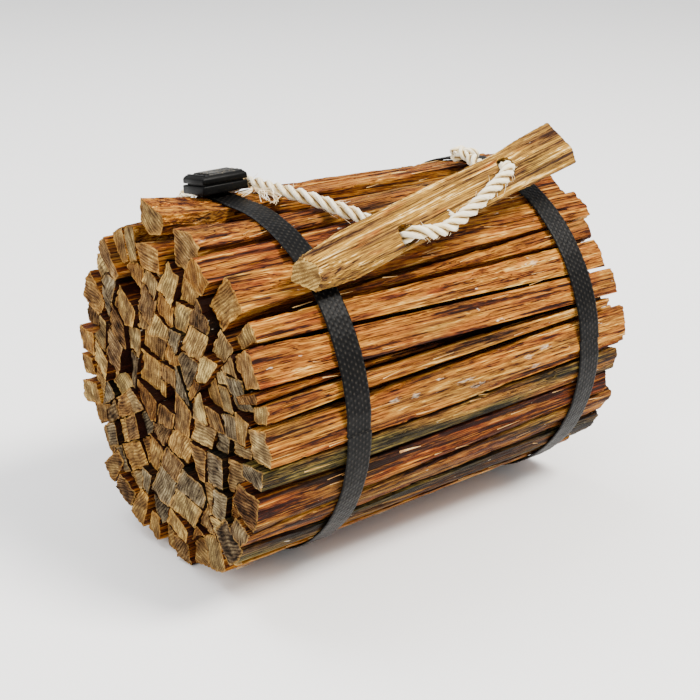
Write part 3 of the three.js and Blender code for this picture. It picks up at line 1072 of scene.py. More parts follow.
    def _end_relief(self, wood: np.ndarray, on_rim: np.ndarray, rough: Roughness, seed: int) -> np.ndarray:
        """How far an end face is cut back at each vertex, mm.

        Args:
            wood: Each vertex's place in the wood, mm.
            on_rim: True on the rim of the end.
            rough: How rough the stick is.
            seed: The stick's own seed.

        Returns:
            The cut at each vertex, mm.
        """
        plane = wood * np.array([0.0, 1.0, 1.0])
        layer = 0.5 + 0.5 * noise(plane, (1, 2.2, 14), seed + 11, 2)
        lump = 0.5 + 0.5 * noise(plane, (1, 4, 4), seed + 12, 2)
        chip = smoothstep(0.1, 0.5, noise(plane, (1, 1.6, 1.6), seed + 13, 2))
        return rough.end * (0.8 * layer + 0.9 * lump) + on_rim * (0.1 + 1.1 * chip) * rough.end


# ---------------------------------------------------------------- sticks


# How red, light and weathered the first sticks are, from the raised one down the seen side, where the
# lowest are darkened as painted shade.
SEEN_TONES = (
    (0.40, 0.52, 0.05), (0.62, 0.50, 0.22), (0.80, 0.42, 0.00), (0.55, 0.56, 0.00), (0.45, 0.50, 0.10),
    (0.40, 0.62, 0.02), (0.62, 0.52, 0.16), (0.75, 0.30, 0.20), (0.35, 0.64, 0.05), (0.32, 0.60, 0.25),
    # The last three, lowest on the seen side, are given low lightness: painted shade under the bundle.
    (0.20, 0.34, 0.85), (0.85, 0.12, 0.35), (0.30, 0.30, 0.45), (0.35, 0.10, 0.70),
)


def ring_nodes() -> list[str]:
    """The names of the outside sticks' CAD nodes, in order."""
    return sorted(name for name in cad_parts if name.startswith("stick_"))


def pick_tone(rng: Rng, chances: Sequence[float], spread: float) -> np.ndarray:
    """Pick a stick's tone.

    Args:
        rng: The random source.
        chances: How likely each tone of the wood is.
        spread: How far sticks of one tone differ.

    Returns:
        How red, light and weathered the stick is.
    """
    kind = list(Tone)[int(rng.choice(len(Tone), p=chances))]
    return np.clip(np.array(kind.value) + rng.normal(0, spread, 3), 0, 1)


@dataclass
class OuterSticks:
    """The sticks round the outside of the bundle, one piece for each CAD node."""

    around: int = 76
    along: int = 132
    cap_rings: int = 8
    first_of_back: int = 20  # the sticks from this number on stand close together, hardly chipped
    chances: tuple[float, ...] = (0.36, 0.2, 0.2, 0.14, 0.1)

    def build(self, side: Material, end: Material) -> list[Piece]:
        """Make the sticks.

        Args:
            side: The material of the split faces.
            end: The material of the end grain.

        Returns:
            The sticks.
        """
        billet = Billet(self.around, self.along, self.cap_rings)
        maker = StickMaker(billet, outer_share=0.45)
        pieces = []
        for i, node in enumerate(ring_nodes()):
            rng = np.random.default_rng(500 + i)
            tone = pick_tone(rng, self.chances, 0.06)
            rough = Roughness(
                flute=rng.uniform(0.3, 0.8),
                flute_width=rng.uniform(2.2, 4.2),
                tear=rng.uniform(0.2, 0.45),
                edge=rng.uniform(0.3, 0.7),
                end=rng.uniform(0.4, 0.9),
            )
            if i + 1 >= self.first_of_back:
                rough = replace(rough, flute=0.25, edge=0.2, tear=0.15)
            # The seen sticks take the listed tones, the lowest darkened as painted shade.
            if i < len(SEEN_TONES):
                tone = SEEN_TONES[i]
            piece = maker.make("split_" + node, plan_from_node(node), rough, tone, 40 + 17 * i)
            dress(piece, side, end)
            hand_over(piece, 50, node)
            pieces.append(piece)
        billet.discard()
        return pieces


def area_of(polygon: Polygon) -> float:
    """A polygon's area, positive where its corners run anticlockwise."""
    following = np.roll(polygon, -1, axis=0)
    cross = polygon[:, 0] * following[:, 1] - polygon[:, 1] * following[:, 0]
    return float(cross.sum() / 2)


def keep_side(polygon: Polygon, point: np.ndarray, normal: np.ndarray) -> Polygon:
    """Cut a convex polygon along a line.

    Args:
        polygon: The polygon.
        point: A point of the line.
        normal: The way from the line to the part that is kept.

    Returns:
        The part that is kept, which may have no corners.
    """
    sides = (polygon - point) @ normal
    kept = []
    for i, here in enumerate(polygon):
        j = (i + 1) % len(polygon)
        if sides[i] >= 0:
            kept.append(here)
        if (sides[i] >= 0) != (sides[j] >= 0):
            kept.append(here + (polygon[j] - here) * sides[i] / (sides[i] - sides[j]))
    return np.array(kept).reshape(-1, 2)


@dataclass
class InnerSticks:
    """The sticks inside the ring: split from billets, so that neighbours match each other, with
    dark gaps between them and ends that don't line up."""

    radius: float = 60.5
    clearance: float = 0.35  # mm from the ring's sticks
    billets: int = 8
    stick_area: float = 165.0  # mm2, an average stick's section
    around: int = 44
    along: int = 22
    cap_rings: int = 6
    furthest: float = 105.8  # no end reaches further along X, mm
    near: float = 104.5  # how far the near and far ends reach on average, mm
    far: float = 104.2
    waist: tuple[float, float] = (-66.0, 87.0)  # the stretch that is fitted to the room at X 0, mm
    rim: float = 101.0  # where the room at each end is measured, mm
    chances: tuple[float, ...] = (0.3, 0.12, 0.2, 0.14, 0.24)
    sharp: float = 72.0  # corners sharper than this have broken off, degrees
    parts: int = 2
    seed: int = 4

    def build(self, side: Material, end: Material) -> list[Piece]:
        """Make the sticks, joined into a few pieces.

        Args:
            side: The material of the split faces.
            end: The material of the end grain.

        Returns:
            The pieces.
        """
        rng = np.random.default_rng(self.seed)
        billet = Billet(self.around, self.along, self.cap_rings)
        maker = StickMaker(billet, crowding=0.93)
        made = []
        near_room, waist, far_room = (self._room(x) for x in (-self.rim, 0.0, self.rim))
        for i, (polygon, layers) in enumerate(self.sections(near_room, rng)):
            tone = pick_tone(rng, self.chances, 0.1)
            recess = rng.exponential(4.5) if rng.random() < 0.1 else 0.0
            near = -min(self.furthest, self.near + rng.normal(0, 1.2)) + recess
            far = min(self.furthest, self.far + rng.normal(0, 1.5))
            lean = rng.uniform(-0.12, 0.12, 4)
            stations = [near, *self.waist, far]
            rooms = (near_room, waist, waist, far_room)
            corners = np.array([self._fit(polygon, near_room, room) for room in rooms])
            plan = StickPlan(stations, corners, tuple(lean[:2]), tuple(lean[2:]))
            rough = Roughness(
                flute=rng.uniform(0.2, 0.5),
                flute_width=rng.uniform(2.0, 3.6),
                tear=0.25,
                edge=rng.uniform(0.2, 0.6),
                end=rng.uniform(0.5, 1.1),
            )
            piece = maker.make(f"inner_{i}", plan, rough, tone, 2000 + 13 * i, layers)
            dress(piece, side, end)
            made.append(piece)
        billet.discard()
        joined = []
        for i in range(self.parts):
            piece = join(made[i :: self.parts], f"inner_sticks_{i + 1}")
            hand_over(piece, 50, "core_sticks")
            joined.append(piece)
        return joined

    def sections(self, room: np.ndarray, rng: Rng) -> list[tuple[Polygon, float]]:
        """Divide the space inside the ring into the sticks' sections.

        Args:
            room: How far the space reaches at each of its directions, mm.
            rng: The random source.

        Returns:
            The sections, each with the direction across its growth layers.
        """
        angles = np.linspace(0, 2 * math.pi, len(room), endpoint=False)
        disc = room[:, None] * np.column_stack([np.cos(angles), np.sin(angles)])
        seeds = self._scatter(rng)
        found = []
        for i, seed in enumerate(seeds):
            cell = disc
            for j, other in enumerate(seeds):
                if i != j:
                    cell = keep_side(cell, (seed + other) / 2, seed - other)
            turn = rng.uniform(0, math.pi)
            found += [(self._ease(part, rng), turn) for part in self._split(cell, turn, rng)]
        return found

    def _room(self, x: float) -> np.ndarray:
        """How far from the bundle's middle the sticks of the ring begin, all the way round, mm."""
        reach = np.full(72, self.radius + 8)
        angles = np.linspace(0, 2 * math.pi, len(reach), endpoint=False)
        rays = np.column_stack([np.cos(angles), np.sin(angles)])
        for node in ring_nodes():
            ring = plan_from_node(node).section(x) - np.array([0, AXIS_Z])
            for a, b in zip(ring, np.roll(ring, -1, axis=0)):
                edge = b - a
                cross = rays[:, 0] * edge[1] - rays[:, 1] * edge[0]
                cross = np.where(np.abs(cross) < 1e-9, 1e-9, cross)
                far = (a[0] * edge[1] - a[1] * edge[0]) / cross
                share = (a[0] * rays[:, 1] - a[1] * rays[:, 0]) / cross
                hit = (share > -0.02) & (share < 1.02) & (far > 30)
                reach = np.where(hit, np.minimum(reach, far), reach)
        return reach - self.clearance

    def _fit(self, polygon: Polygon, made_for: np.ndarray, room: np.ndarray) -> Polygon:
        """Draw a section in or out to the room at another place along the bundle.

        Args:
            polygon: The section, with the bundle's height added.
            made_for: The room that it was made for.
            room: The room at that place.

        Returns:
            The section there.
        """
        away = polygon - np.array([0, AXIS_Z])
        radius = np.hypot(*away.T)
        turn = np.arctan2(away[:, 1], away[:, 0]) % (2 * math.pi)
        stops = np.linspace(0, 2 * math.pi, len(room) + 1)
        was = np.interp(turn, stops, np.append(made_for, made_for[0]))
        now = np.interp(turn, stops, np.append(room, room[0]))
        share = smoothstep(0.0, self.radius, radius)
        return polygon + away * ((now / was - 1) * share)[:, None]

    def _scatter(self, rng: Rng) -> np.ndarray:
        """Pick well-spaced centres for the billets that the sticks are split from."""
        chosen: list[np.ndarray] = []
        while len(chosen) < self.billets:
            tries = rng.uniform(-1, 1, (40, 2)) * self.radius
            tries = tries[np.hypot(*tries.T) < self.radius * 0.93]
            gaps = [min([np.hypot(*(t - c)) for c in chosen], default=1.0) for t in tries]
            chosen.append(tries[int(np.argmax(gaps))])
        return np.array(chosen)

    def _split(self, polygon: Polygon, turn: float, rng: Rng) -> list[Polygon]:
        """Split a billet's section into slabs and each slab into sticks.

        Args:
            polygon: The section.
            turn: The direction across the slabs, in radians.
            rng: The random source.

        Returns:
            The sticks' sections, without the slivers that fall away.
        """
        skew = turn + math.radians(90 + rng.uniform(-24, 24))
        sticks = []
        for slab in self._slice(polygon, turn, rng):
            sticks += self._slice(slab, skew + rng.normal(0, 0.06), rng)
        return [stick for stick in sticks if abs(area_of(stick)) > self.stick_area * 0.1]

    def _slice(self, polygon: Polygon, turn: float, rng: Rng) -> list[Polygon]:
        """Slice a section with nearly even parallel splits.

        Args:
            polygon: The section.
            turn: The direction across the splits, in radians.
            rng: The random source.

        Returns:
            The slices.
        """
        if len(polygon) < 3:
            return []
        normal = np.array([math.cos(turn), math.sin(turn)])
        reach = polygon @ normal
        side = math.sqrt(self.stick_area) * rng.uniform(0.88, 1.12)
        count = max(1, round((reach.max() - reach.min()) / side * 0.94))
        stops = np.linspace(reach.min(), reach.max(), count + 1)[1:-1]
        stops = stops + rng.normal(0, 0.09, len(stops)) * side
        slices = []
        for stop in stops:
            slices.append(keep_side(polygon, normal * stop, -normal))
            polygon = keep_side(polygon, normal * stop, normal)
            if len(polygon) < 3:
                return slices
        return [*slices, polygon]

    def _ease(self, polygon: Polygon, rng: Rng) -> Polygon:
        """Drop a section's shortest edges, draw it in a little from its neighbours and turn it.

        Args:
            polygon: The section.
            rng: The random source.

        Returns:
            The section of the stick itself, with the bundle's height added.
        """
        if area_of(polygon) < 0:
            polygon = polygon[::-1]
        while len(polygon) > 4:
            edges = np.linalg.norm(np.roll(polygon, -1, axis=0) - polygon, axis=1)
            shortest = int(np.argmin(edges))
            if edges[shortest] > 4.0 and len(polygon) < 6:
                break
            following = (shortest + 1) % len(polygon)
            polygon[shortest] = (polygon[shortest] + polygon[following]) / 2
            polygon = np.delete(polygon, following, axis=0)
        middle = polygon.mean(0)
        reach = np.linalg.norm(polygon - middle, axis=1, keepdims=True)
        polygon = middle + (polygon - middle) * (1 - rng.uniform(0.02, 0.15) / reach)
        polygon = self._blunt(polygon, rng)
        turn = rng.normal(0, 0.02)
        cos, sin = math.cos(turn), math.sin(turn)
        polygon = middle + (polygon - middle) @ np.array([[cos, sin], [-sin, cos]])
        return polygon + np.array([0, AXIS_Z])

    def _blunt(self, polygon: Polygon, rng: Rng) -> Polygon:
        """Break off a section's sharp corners.

        Args:
            polygon: The section.
            rng: The random source.

        Returns:
            The section with two corners in place of each sharp one.
        """
        kept = []
        for i, corner in enumerate(polygon):
            before = polygon[i - 1] - corner
            after = polygon[(i + 1) % len(polygon)] - corner
            sizes = np.linalg.norm(before), np.linalg.norm(after)
            bend = math.degrees(math.acos(np.clip(before @ after / (sizes[0] * sizes[1]), -1, 1)))
            if bend > self.sharp:
                kept.append(corner)
                continue
            cut = min(rng.uniform(0.8, 1.8), 0.25 * min(sizes))
            kept.append(corner + before / sizes[0] * cut)
            kept.append(corner + after / sizes[1] * cut)
        return np.array(kept)


# ---------------------------------------------------------------- straps


@dataclass
class WebbingStrap:
    """A strap of flat woven webbing drawn round the bundle, with the yarns' floats in relief."""

    node: str
    step: float = 0.55  # mm between vertices along the strap
    across: int = 24
    columns: int = 7  # columns of floats across the width
    float_pitch: float = 2.9  # mm from one float to the next along a column
    relief: float = 0.22  # mm
    thickness: float = 0.75  # mm

    def build(self, material: Material) -> Piece:
        """Make the strap over its CAD node.

        Args:
            material: The webbing.

        Returns:
            The strap.
        """
        low, high = (np.array(c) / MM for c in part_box(self.node))
        width = high[0] - low[0]
        outline = self._outline()
        lengths = np.linalg.norm(np.roll(outline, -1, axis=0) - outline, axis=1)
        total = lengths.sum()
        count = int(total / self.step)
        select_none()
        bpy.ops.mesh.primitive_grid_add(x_subdivisions=count, y_subdivisions=self.across, size=1)
        piece = bpy.context.object
        piece.name = piece.data.name = "woven_" + self.node
        flat = coordinates(piece.data)[:, :2] + 0.5
        along, over = flat[:, 0] * total, flat[:, 1] * width
        stops = np.concatenate([[0], np.cumsum(lengths)])
        closed = np.vstack([outline, outline[:1]])
        behind, place, ahead = (
            np.column_stack([np.interp((along + shift) % total, stops, closed[:, i]) for i in (0, 1)])
            for shift in (-3, 0, 3)
        )
        tangent = ahead - behind
        tangent /= np.linalg.norm(tangent, axis=1, keepdims=True)
        inward = np.column_stack([-tangent[:, 1], tangent[:, 0]])
        toward = np.array([0, AXIS_Z]) - place
        inward *= np.sign(np.sum(inward * toward, axis=1))[:, None]
        yarn = self._yarn(along, over, total, width)
        selvedge = smoothstep(0.7, 0.0, np.minimum(over, width - over))
        depth = self.relief * (1 - yarn) + 0.25 * selvedge
        depth += 0.12 * (1 + noise(np.column_stack([along, over, over * 0]), (9, 5, 1), 5))
        ripple = 0.25 * noise(np.column_stack([along, over * 0, over * 0]), (24, 1, 1), 8)
        place = place + inward * depth[:, None]
        x = low[0] + over + ripple * (over / width - 0.5)
        set_coordinates(piece.data, np.column_stack([x, place]) * MM)
        # The yarns' height, which the webbing also paints as glints on the crowns.
        add_attribute(piece.data, "yarn", yarn)
        self._place_pattern(piece, along, over)
        self._close(piece)
        dress(piece, material)
        hand_over(piece, 60, self.node)
        return piece

    def _outline(self) -> np.ndarray:
        """The outer outline of the CAD strap: Y and Z of its corners in order, mm."""
        points = coordinates(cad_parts[self.node].data)[:, 1:] / MM
        points = np.unique(np.round(points, 3), axis=0)
        away = points - np.array([0, AXIS_Z])
        points = points[np.argsort(np.arctan2(away[:, 1], away[:, 0]))]
        hull: list[np.ndarray] = []
        start = int(np.argmin(points[:, 0]))
        for point in np.roll(points, -start, axis=0):
            while len(hull) > 1:
                a, b = hull[-2], hull[-1]
                if np.cross(b - a, point - b) > 1e-6:
                    break
                hull.pop()
            hull.append(point)
        return np.array(hull)

    def _yarn(self, along: np.ndarray, over: np.ndarray, total: float, width: float) -> np.ndarray:
        """How high the yarns stand, 0 between them to 1 on a float's crown.

        Args:
            along: Each vertex's place along the strap, mm.
            over: Each vertex's place across it, mm.
            total: The strap's length round the bundle, mm.
            width: Its width, mm.

        Returns:
            The height of each vertex.
        """
        pitch = total / round(total / self.float_pitch)
        column = over / width * self.columns
        number = np.minimum(np.floor(column), self.columns - 1)
        aside = 2 * (column - number) - 1
        phase = along / pitch + 0.5 * (number % 2)
        lengthwise = np.abs(np.sin(math.pi * phase)) ** 0.6
        return np.clip(1 - aside**4, 0, 1) * lengthwise

    def _place_pattern(self, piece: Piece, along: np.ndarray, over: np.ndarray) -> None:
        """Write the strap's UV map in mm along and across."""
        mesh = piece.data
        layer = mesh.uv_layers[0] if mesh.uv_layers else mesh.uv_layers.new(name="UVMap")
        layer.name = "UVMap"
        corners = np.empty(len(mesh.loops), int)
        mesh.loops.foreach_get("vertex_index", corners)
        layer.data.foreach_set("uv", np.column_stack([along[corners], over[corners]]).ravel())

    def _close(self, piece: Piece) -> None:
        """Join the strap's ends, face it outwards and give it its thickness."""
        face_outwards(piece, merge=0.00001)
        centre = Vector((0, 0, AXIS_Z * MM))
        faces = piece.data.polygons
        outward = sum((face.center - centre).dot(face.normal) for face in faces) > 0
        if not outward:
            piece.data.flip_normals()
        solid = piece.modifiers.new("thickness", "SOLIDIFY")
        solid.thickness = self.thickness * MM
        solid.offset = -1
        apply_modifiers(piece)


# ---------------------------------------------------------------- rope


def curve_through(points: Sequence[Place], spacing: float) -> np.ndarray:
    """A smooth curve through points, as a centripetal Catmull-Rom spline.

    Args:
        points: The points it runs through.
        spacing: The distance between the points that are returned.

    Returns:
        Evenly spaced points of the curve.
    """
    knots = [np.array(p, float) for p in points]
    knots = [2 * knots[0] - knots[1], *knots, 2 * knots[-1] - knots[-2]]
    dense = []
    for a, b, c, d in zip(knots, knots[1:], knots[2:], knots[3:]):
        t1 = np.linalg.norm(b - a) ** 0.5
        t2 = t1 + np.linalg.norm(c - b) ** 0.5
        t3 = t2 + np.linalg.norm(d - c) ** 0.5
        for t in np.linspace(t1, t2, 24, endpoint=False):
            ab = a + (b - a) * t / t1
            bc = b + (c - b) * (t - t1) / (t2 - t1)
            cd = c + (d - c) * (t - t2) / (t3 - t2)
            abc = ab + (bc - ab) * t / t2
            bcd = bc + (cd - bc) * (t - t1) / (t3 - t1)
            dense.append(abc + (bcd - abc) * (t - t1) / (t2 - t1))
    dense.append(knots[-2])
    line = np.array(dense)
    run = np.concatenate([[0], np.cumsum(np.linalg.norm(np.diff(line, axis=0), axis=1))])
    even = np.linspace(0, run[-1], max(2, int(round(run[-1] / spacing))) + 1)
    return np.column_stack([np.interp(even, run, line[:, i]) for i in range(3)])


def carried_frames(line: np.ndarray) -> tuple[np.ndarray, np.ndarray]:
    """Two directions across a curve at each of its points, carried along without twist.

    Args:
        line: The curve's points.

    Returns:
        The first and second direction at each point.
    """
    tangent = np.gradient(line, axis=0)
    tangent /= np.linalg.norm(tangent, axis=1, keepdims=True)
    start = np.cross(tangent[0], (0, 0, 1) if abs(tangent[0][2]) < 0.9 else (1, 0, 0))
    first = [start / np.linalg.norm(start)]
    for way in tangent[1:]:
        carried = first[-1] - way * np.dot(first[-1], way)
        first.append(carried / np.linalg.norm(carried))
    across = np.array(first)
    return across, np.cross(tangent, across)


@dataclass
class ThreeStrandRope:
    """Rope laid up from three twisted strands. Sizes in mm."""

    radius: float = 3.15
    lay: float = 20.0  # length of one full turn of a strand
    around: int = 60
    spacing: float = 0.6
    valley: float = 0.5  # the floor between two strands, against the radius
    fray: float = 0.2
    yarn: float = 1.3  # from one yarn of a strand to the next
    spread: float = 1.1547  # from the rope's middle to a strand's, against the strand's radius

    def sweep(self, name: str, points: Sequence[Place], seed: int) -> tuple[Piece, np.ndarray]:
        """Lay a rope along a route.

        Args:
            name: The piece's name.
            points: The route, mm.
            seed: The rope's own seed.

        Returns:
            The rope and its centreline, mm.
        """
        line = curve_through(points, self.spacing)
        billet = Billet(self.around, len(line) - 1, 3)
        run = billet.step * self.spacing
        strand = billet.turn * 2 * math.pi / self.around
        angle = strand + run * 2 * math.pi / self.lay
        aside = (strand % (2 * math.pi / 3)) - math.pi / 3
        size = self.radius / (1 + self.spread)
        reach = self.spread * size
        root = np.sqrt(np.maximum(size**2 - (reach * np.sin(aside)) ** 2, 0))
        lobed = np.maximum(reach * np.cos(aside) + root, self.valley * self.radius)
        crest = (lobed / self.radius - self.valley) / (1 - self.valley)
        place = np.column_stack([run + seed * 50, strand * self.radius, np.zeros(len(run))])
        twist = aside * self.radius - run * 0.3
        yarn_place = np.column_stack([run * 0.95 + aside * self.radius * 0.3, twist, strand])
        fuzz = noise(place, (1.6, 0.9, 1), seed, 2) + 0.6 * noise(yarn_place, (4, 0.5, 9), seed + 1)
        fuzz += 0.8 * np.cos(twist * 2 * math.pi / self.yarn)
        piece = billet.wrap(name, line, angle, (lobed + self.fray * fuzz) * billet.share)
        # The crest, which the rope's finish paints dark in the valleys as shade.
        add_attribute(piece.data, "crest", np.clip(crest, 0, 1))
        add_attribute(piece.data, "yarn_place", yarn_place + seed * 7.0)
        for face in piece.data.polygons:
            face.material_index = 0
        billet.discard()
        face_outwards(piece)
        return piece, line


@dataclass
class CarryingRope:
    """The rope of the handle and its two knots with their tails."""

    rope: ThreeStrandRope = field(default_factory=ThreeStrandRope)
    thin: ThreeStrandRope = field(
        default_factory=lambda: ThreeStrandRope(radius=2.3, lay=15.0, around=48, spacing=0.5)
    )

    def build(self, material: Material) -> list[Piece]:
        """Make the rope and its knots.

        Args:
            material: The rope's finish.

        Returns:
            The rope, then the pieces on it.
        """
        cord, line = self.rope.sweep("laid_handle_rope", ROPE_ROUTE, 3)
        front, _ = self.thin.sweep("tied_front_knot", FRONT_KNOT, 11)
        rear, _ = self.thin.sweep("tied_rear_knot", REAR_KNOT, 12)
        for piece, node in ((cord, "handle_rope"), (front, "front_knot"), (rear, "rear_knot")):
            dress(piece, material)
            hand_over(piece, 60, node)
        knots = [front, rear]
        return [cord, *knots]


# The route of the rope's middle, in metres from the front knot to the rear one: past the buckle, over
# the sticks, under the handle, up through its first hole, along its face and down through the second.
ROPE_ROUTE_M = [
    (-0.0527, 0.0415, 0.1550), (-0.0482, 0.0362, 0.1574), (-0.0444, 0.0320, 0.1598),
    (-0.0424, 0.0276, 0.1624), (-0.0409, 0.0205, 0.1633), (-0.0398, 0.0110, 0.1633),
    (-0.0390, 0.0020, 0.1635), (-0.0365, -0.0085, 0.1630), (-0.0324, -0.0180, 0.1614),
    (-0.0274, -0.0272, 0.1588), (-0.0222, -0.0340, 0.1561), (-0.0196, -0.0404, 0.1528),
    (-0.0208, -0.0468, 0.1490), (-0.0231, -0.0520, 0.1466), (-0.0244, -0.0564, 0.1472),
    (-0.0228, -0.0607, 0.1512), (-0.0207, -0.0646, 0.1550), (-0.0170, -0.0678, 0.1563),
    (-0.0108, -0.0686, 0.1552), (-0.0022, -0.0674, 0.1551), (0.0077, -0.0661, 0.1577),
    (0.0174, -0.0649, 0.1612), (0.0261, -0.0634, 0.1652), (0.0346, -0.0611, 0.1680),
    (0.0411, -0.0585, 0.1701), (0.0458, -0.0548, 0.1713), (0.0492, -0.0500, 0.1702),
    (0.0518, -0.0447, 0.1673), (0.0542, -0.0394, 0.1638), (0.0570, -0.0336, 0.1617),
    (0.0600, -0.0260, 0.1614), (0.0632, -0.0180, 0.1626), (0.0664, -0.0094, 0.1642),
]
ROPE_ROUTE = [tuple(c / MM for c in point) for point in ROPE_ROUTE_M]

# The turns of each knot, mm: two turns round the strap and the tail drawn through them.
FRONT_KNOT = [
    (-53.5, 42.5, 156.0), (-56.5, 45.5, 157.0), (-61.0, 49.0, 154.5), (-61.5, 51.0, 150.5),
    (-57.5, 50.0, 149.5), (-54.0, 47.0, 151.5), (-55.0, 44.5, 155.5), (-59.0, 44.0, 157.0),
    (-62.0, 46.5, 154.8),
]
REAR_KNOT = [
    (66.6, -9.0, 163.9), (65.6, -5.4, 165.3), (66.8, -1.4, 166.4), (70.2, 1.8, 165.6),
    (71.8, 3.2, 163.2), (69.0, 4.2, 162.4), (66.0, 1.4, 163.0), (65.4, -2.0, 164.6),
    (68.2, -4.6, 166.2), (71.6, -5.6, 165.0), (73.2, -3.6, 163.2), (71.0, -1.0, 164.2),
    (67.0, 0.6, 166.0), (63.4, 0.8, 165.2),
]


@dataclass
class LooseEnds:
    """Thin loose things: frayed rope yarns, hairs on the rope and splinters lifted from the sticks."""

    hairs: int = 150
    splinters: int = 90
    seed: int = 5
    rest_radius: float = 82.2  # what loose yarns lie on, from the bundle's axis, mm
    billet: Billet = field(default_factory=lambda: Billet(around=4, along=6, cap_rings=0))

    def build(self, cotton: Material, fibre: Material) -> list[Piece]:
        """Make the loose ends.

        Args:
            cotton: The rope's fibre.
            fibre: The splinters' wood.

        Returns:
            The pieces.
        """
        rng = np.random.default_rng(self.seed)
        hairs = join([self._hair(rng) for _ in range(self.hairs)], "rope_hairs")
        yarns = join([self._yarn(line, rng) for line in FRAYED_YARNS for _ in range(7)], "frayed_yarns")
        splinters = [self._splinter(rng) for _ in range(self.splinters)]
        splinters.append(self._thread(SEAM_SPLINTER, 0.55, 0.12, rng))
        slivers = join(splinters, "torn_splinters")
        self.billet.discard()
        for piece, material, slot in (
            (hairs, cotton, "twisted_rope"),
            (yarns, cotton, "twisted_rope"),
            (slivers, fibre, "split_softwood"),
        ):
            dress(piece, material)
            hand_over(piece, 70)
        return [hairs, yarns, slivers]

    def _thread(self, points: Sequence[Place], thick: float, thin: float, rng: Rng) -> Piece:
        """Draw one thread out along a line.

        Args:
            points: The line, mm.
            thick: Its radius at the start, mm.
            thin: Its radius at the end, mm.
            rng: The random source.

        Returns:
            The thread.
        """
        billet = self.billet
        line = curve_through(points, 1.0)
        stops = np.linspace(0, len(line) - 1, billet.along + 1)
        line = np.column_stack([np.interp(stops, np.arange(len(line)), line[:, i]) for i in range(3)])
        angle = billet.turn * 2 * math.pi / billet.around + rng.uniform(0, 6)
        radius = (thick + (thin - thick) * billet.step / billet.along) * (billet.inset == 0)
        return billet.wrap("thread", line, angle, radius)

    def _hair(self, rng: Rng) -> Piece:
        """Grow one short hair out of the rope."""
        line = curve_through(ROPE_ROUTE, 1.0)
        first, second = carried_frames(line)
        i = int(rng.integers(2, len(line) - 3))
        angle = rng.uniform(0, 2 * math.pi)
        out = first[i] * math.cos(angle) + second[i] * math.sin(angle)
        along = (line[i + 1] - line[i]) * rng.choice([-1, 1])
        start = line[i] + out * 2.7
        length = rng.uniform(1.2, 3.4)
        bend = rng.normal(0, 0.6, 3)
        middle = start + (out * 0.55 + along * 0.6) * length * 0.5
        tip = start + (out * 0.7 + along * 1.1 + bend * 0.4) * length
        return self._thread([start, middle, tip], 0.11, 0.05, rng)

    def _yarn(self, line: Sequence[Place], rng: Rng) -> Piece:
        """Lay one loose yarn near a given line."""
        points = [np.array(p) + rng.normal(0, 0.25 + 0.55 * i, 3) for i, p in enumerate(line)]
        for point in points:
            outside = math.sqrt(max(self.rest_radius**2 - point[1] ** 2, 0.0)) + AXIS_Z
            point[2] = max(point[2], outside - 0.6)
        return self._thread(points, rng.uniform(0.3, 0.5), 0.12, rng)

    def _splinter(self, rng: Rng) -> Piece:
        """Lift one splinter from the outside of the bundle."""
        angle = math.radians(rng.uniform(-25, 150))
        radius = rng.uniform(78.6, 79.9)
        x = rng.uniform(-98, 90)
        length = rng.uniform(3, 15)
        lift = rng.uniform(0.0, 0.5)
        drift = rng.normal(0, 0.012)
        points = []
        for share in (0.0, 0.5, 1.0):
            r = radius + lift * share**2
            turn = angle + drift * share
            points.append((x + length * share, -r * math.sin(turn), AXIS_Z + r * math.cos(turn)))
        return self._thread(points, rng.uniform(0.12, 0.28), 0.05, rng)


# Where loose yarns lie, mm: a white tip beside the buckle, two frayed tails and a tuft on the rope.
FRAYED_YARNS = [
    [(-47.0, 13.0, 163.0), (-50.0, 9.5, 163.0), (-53.6, 8.6, 162.6)],
    [(-46.0, 12.0, 163.2), (-46.5, 5.0, 162.9), (-49.0, 0.5, 162.9), (-52.0, -5.0, 162.6)],
    [(-46.5, 10.0, 163.0), (-44.0, 2.0, 163.0), (-45.0, -4.0, 162.8), (-50.0, -10.0, 162.2)],
    [(5.0, -64.0, 158.8), (4.2, -61.0, 159.6), (5.0, -58.4, 160.0)],
]
SEAM_SPLINTER = [(-37.0, -80.0, 65.0), (-31.0, -80.2, 64.9), (-25.0, -79.8, 64.2)]


# ---------------------------------------------------------------- handle


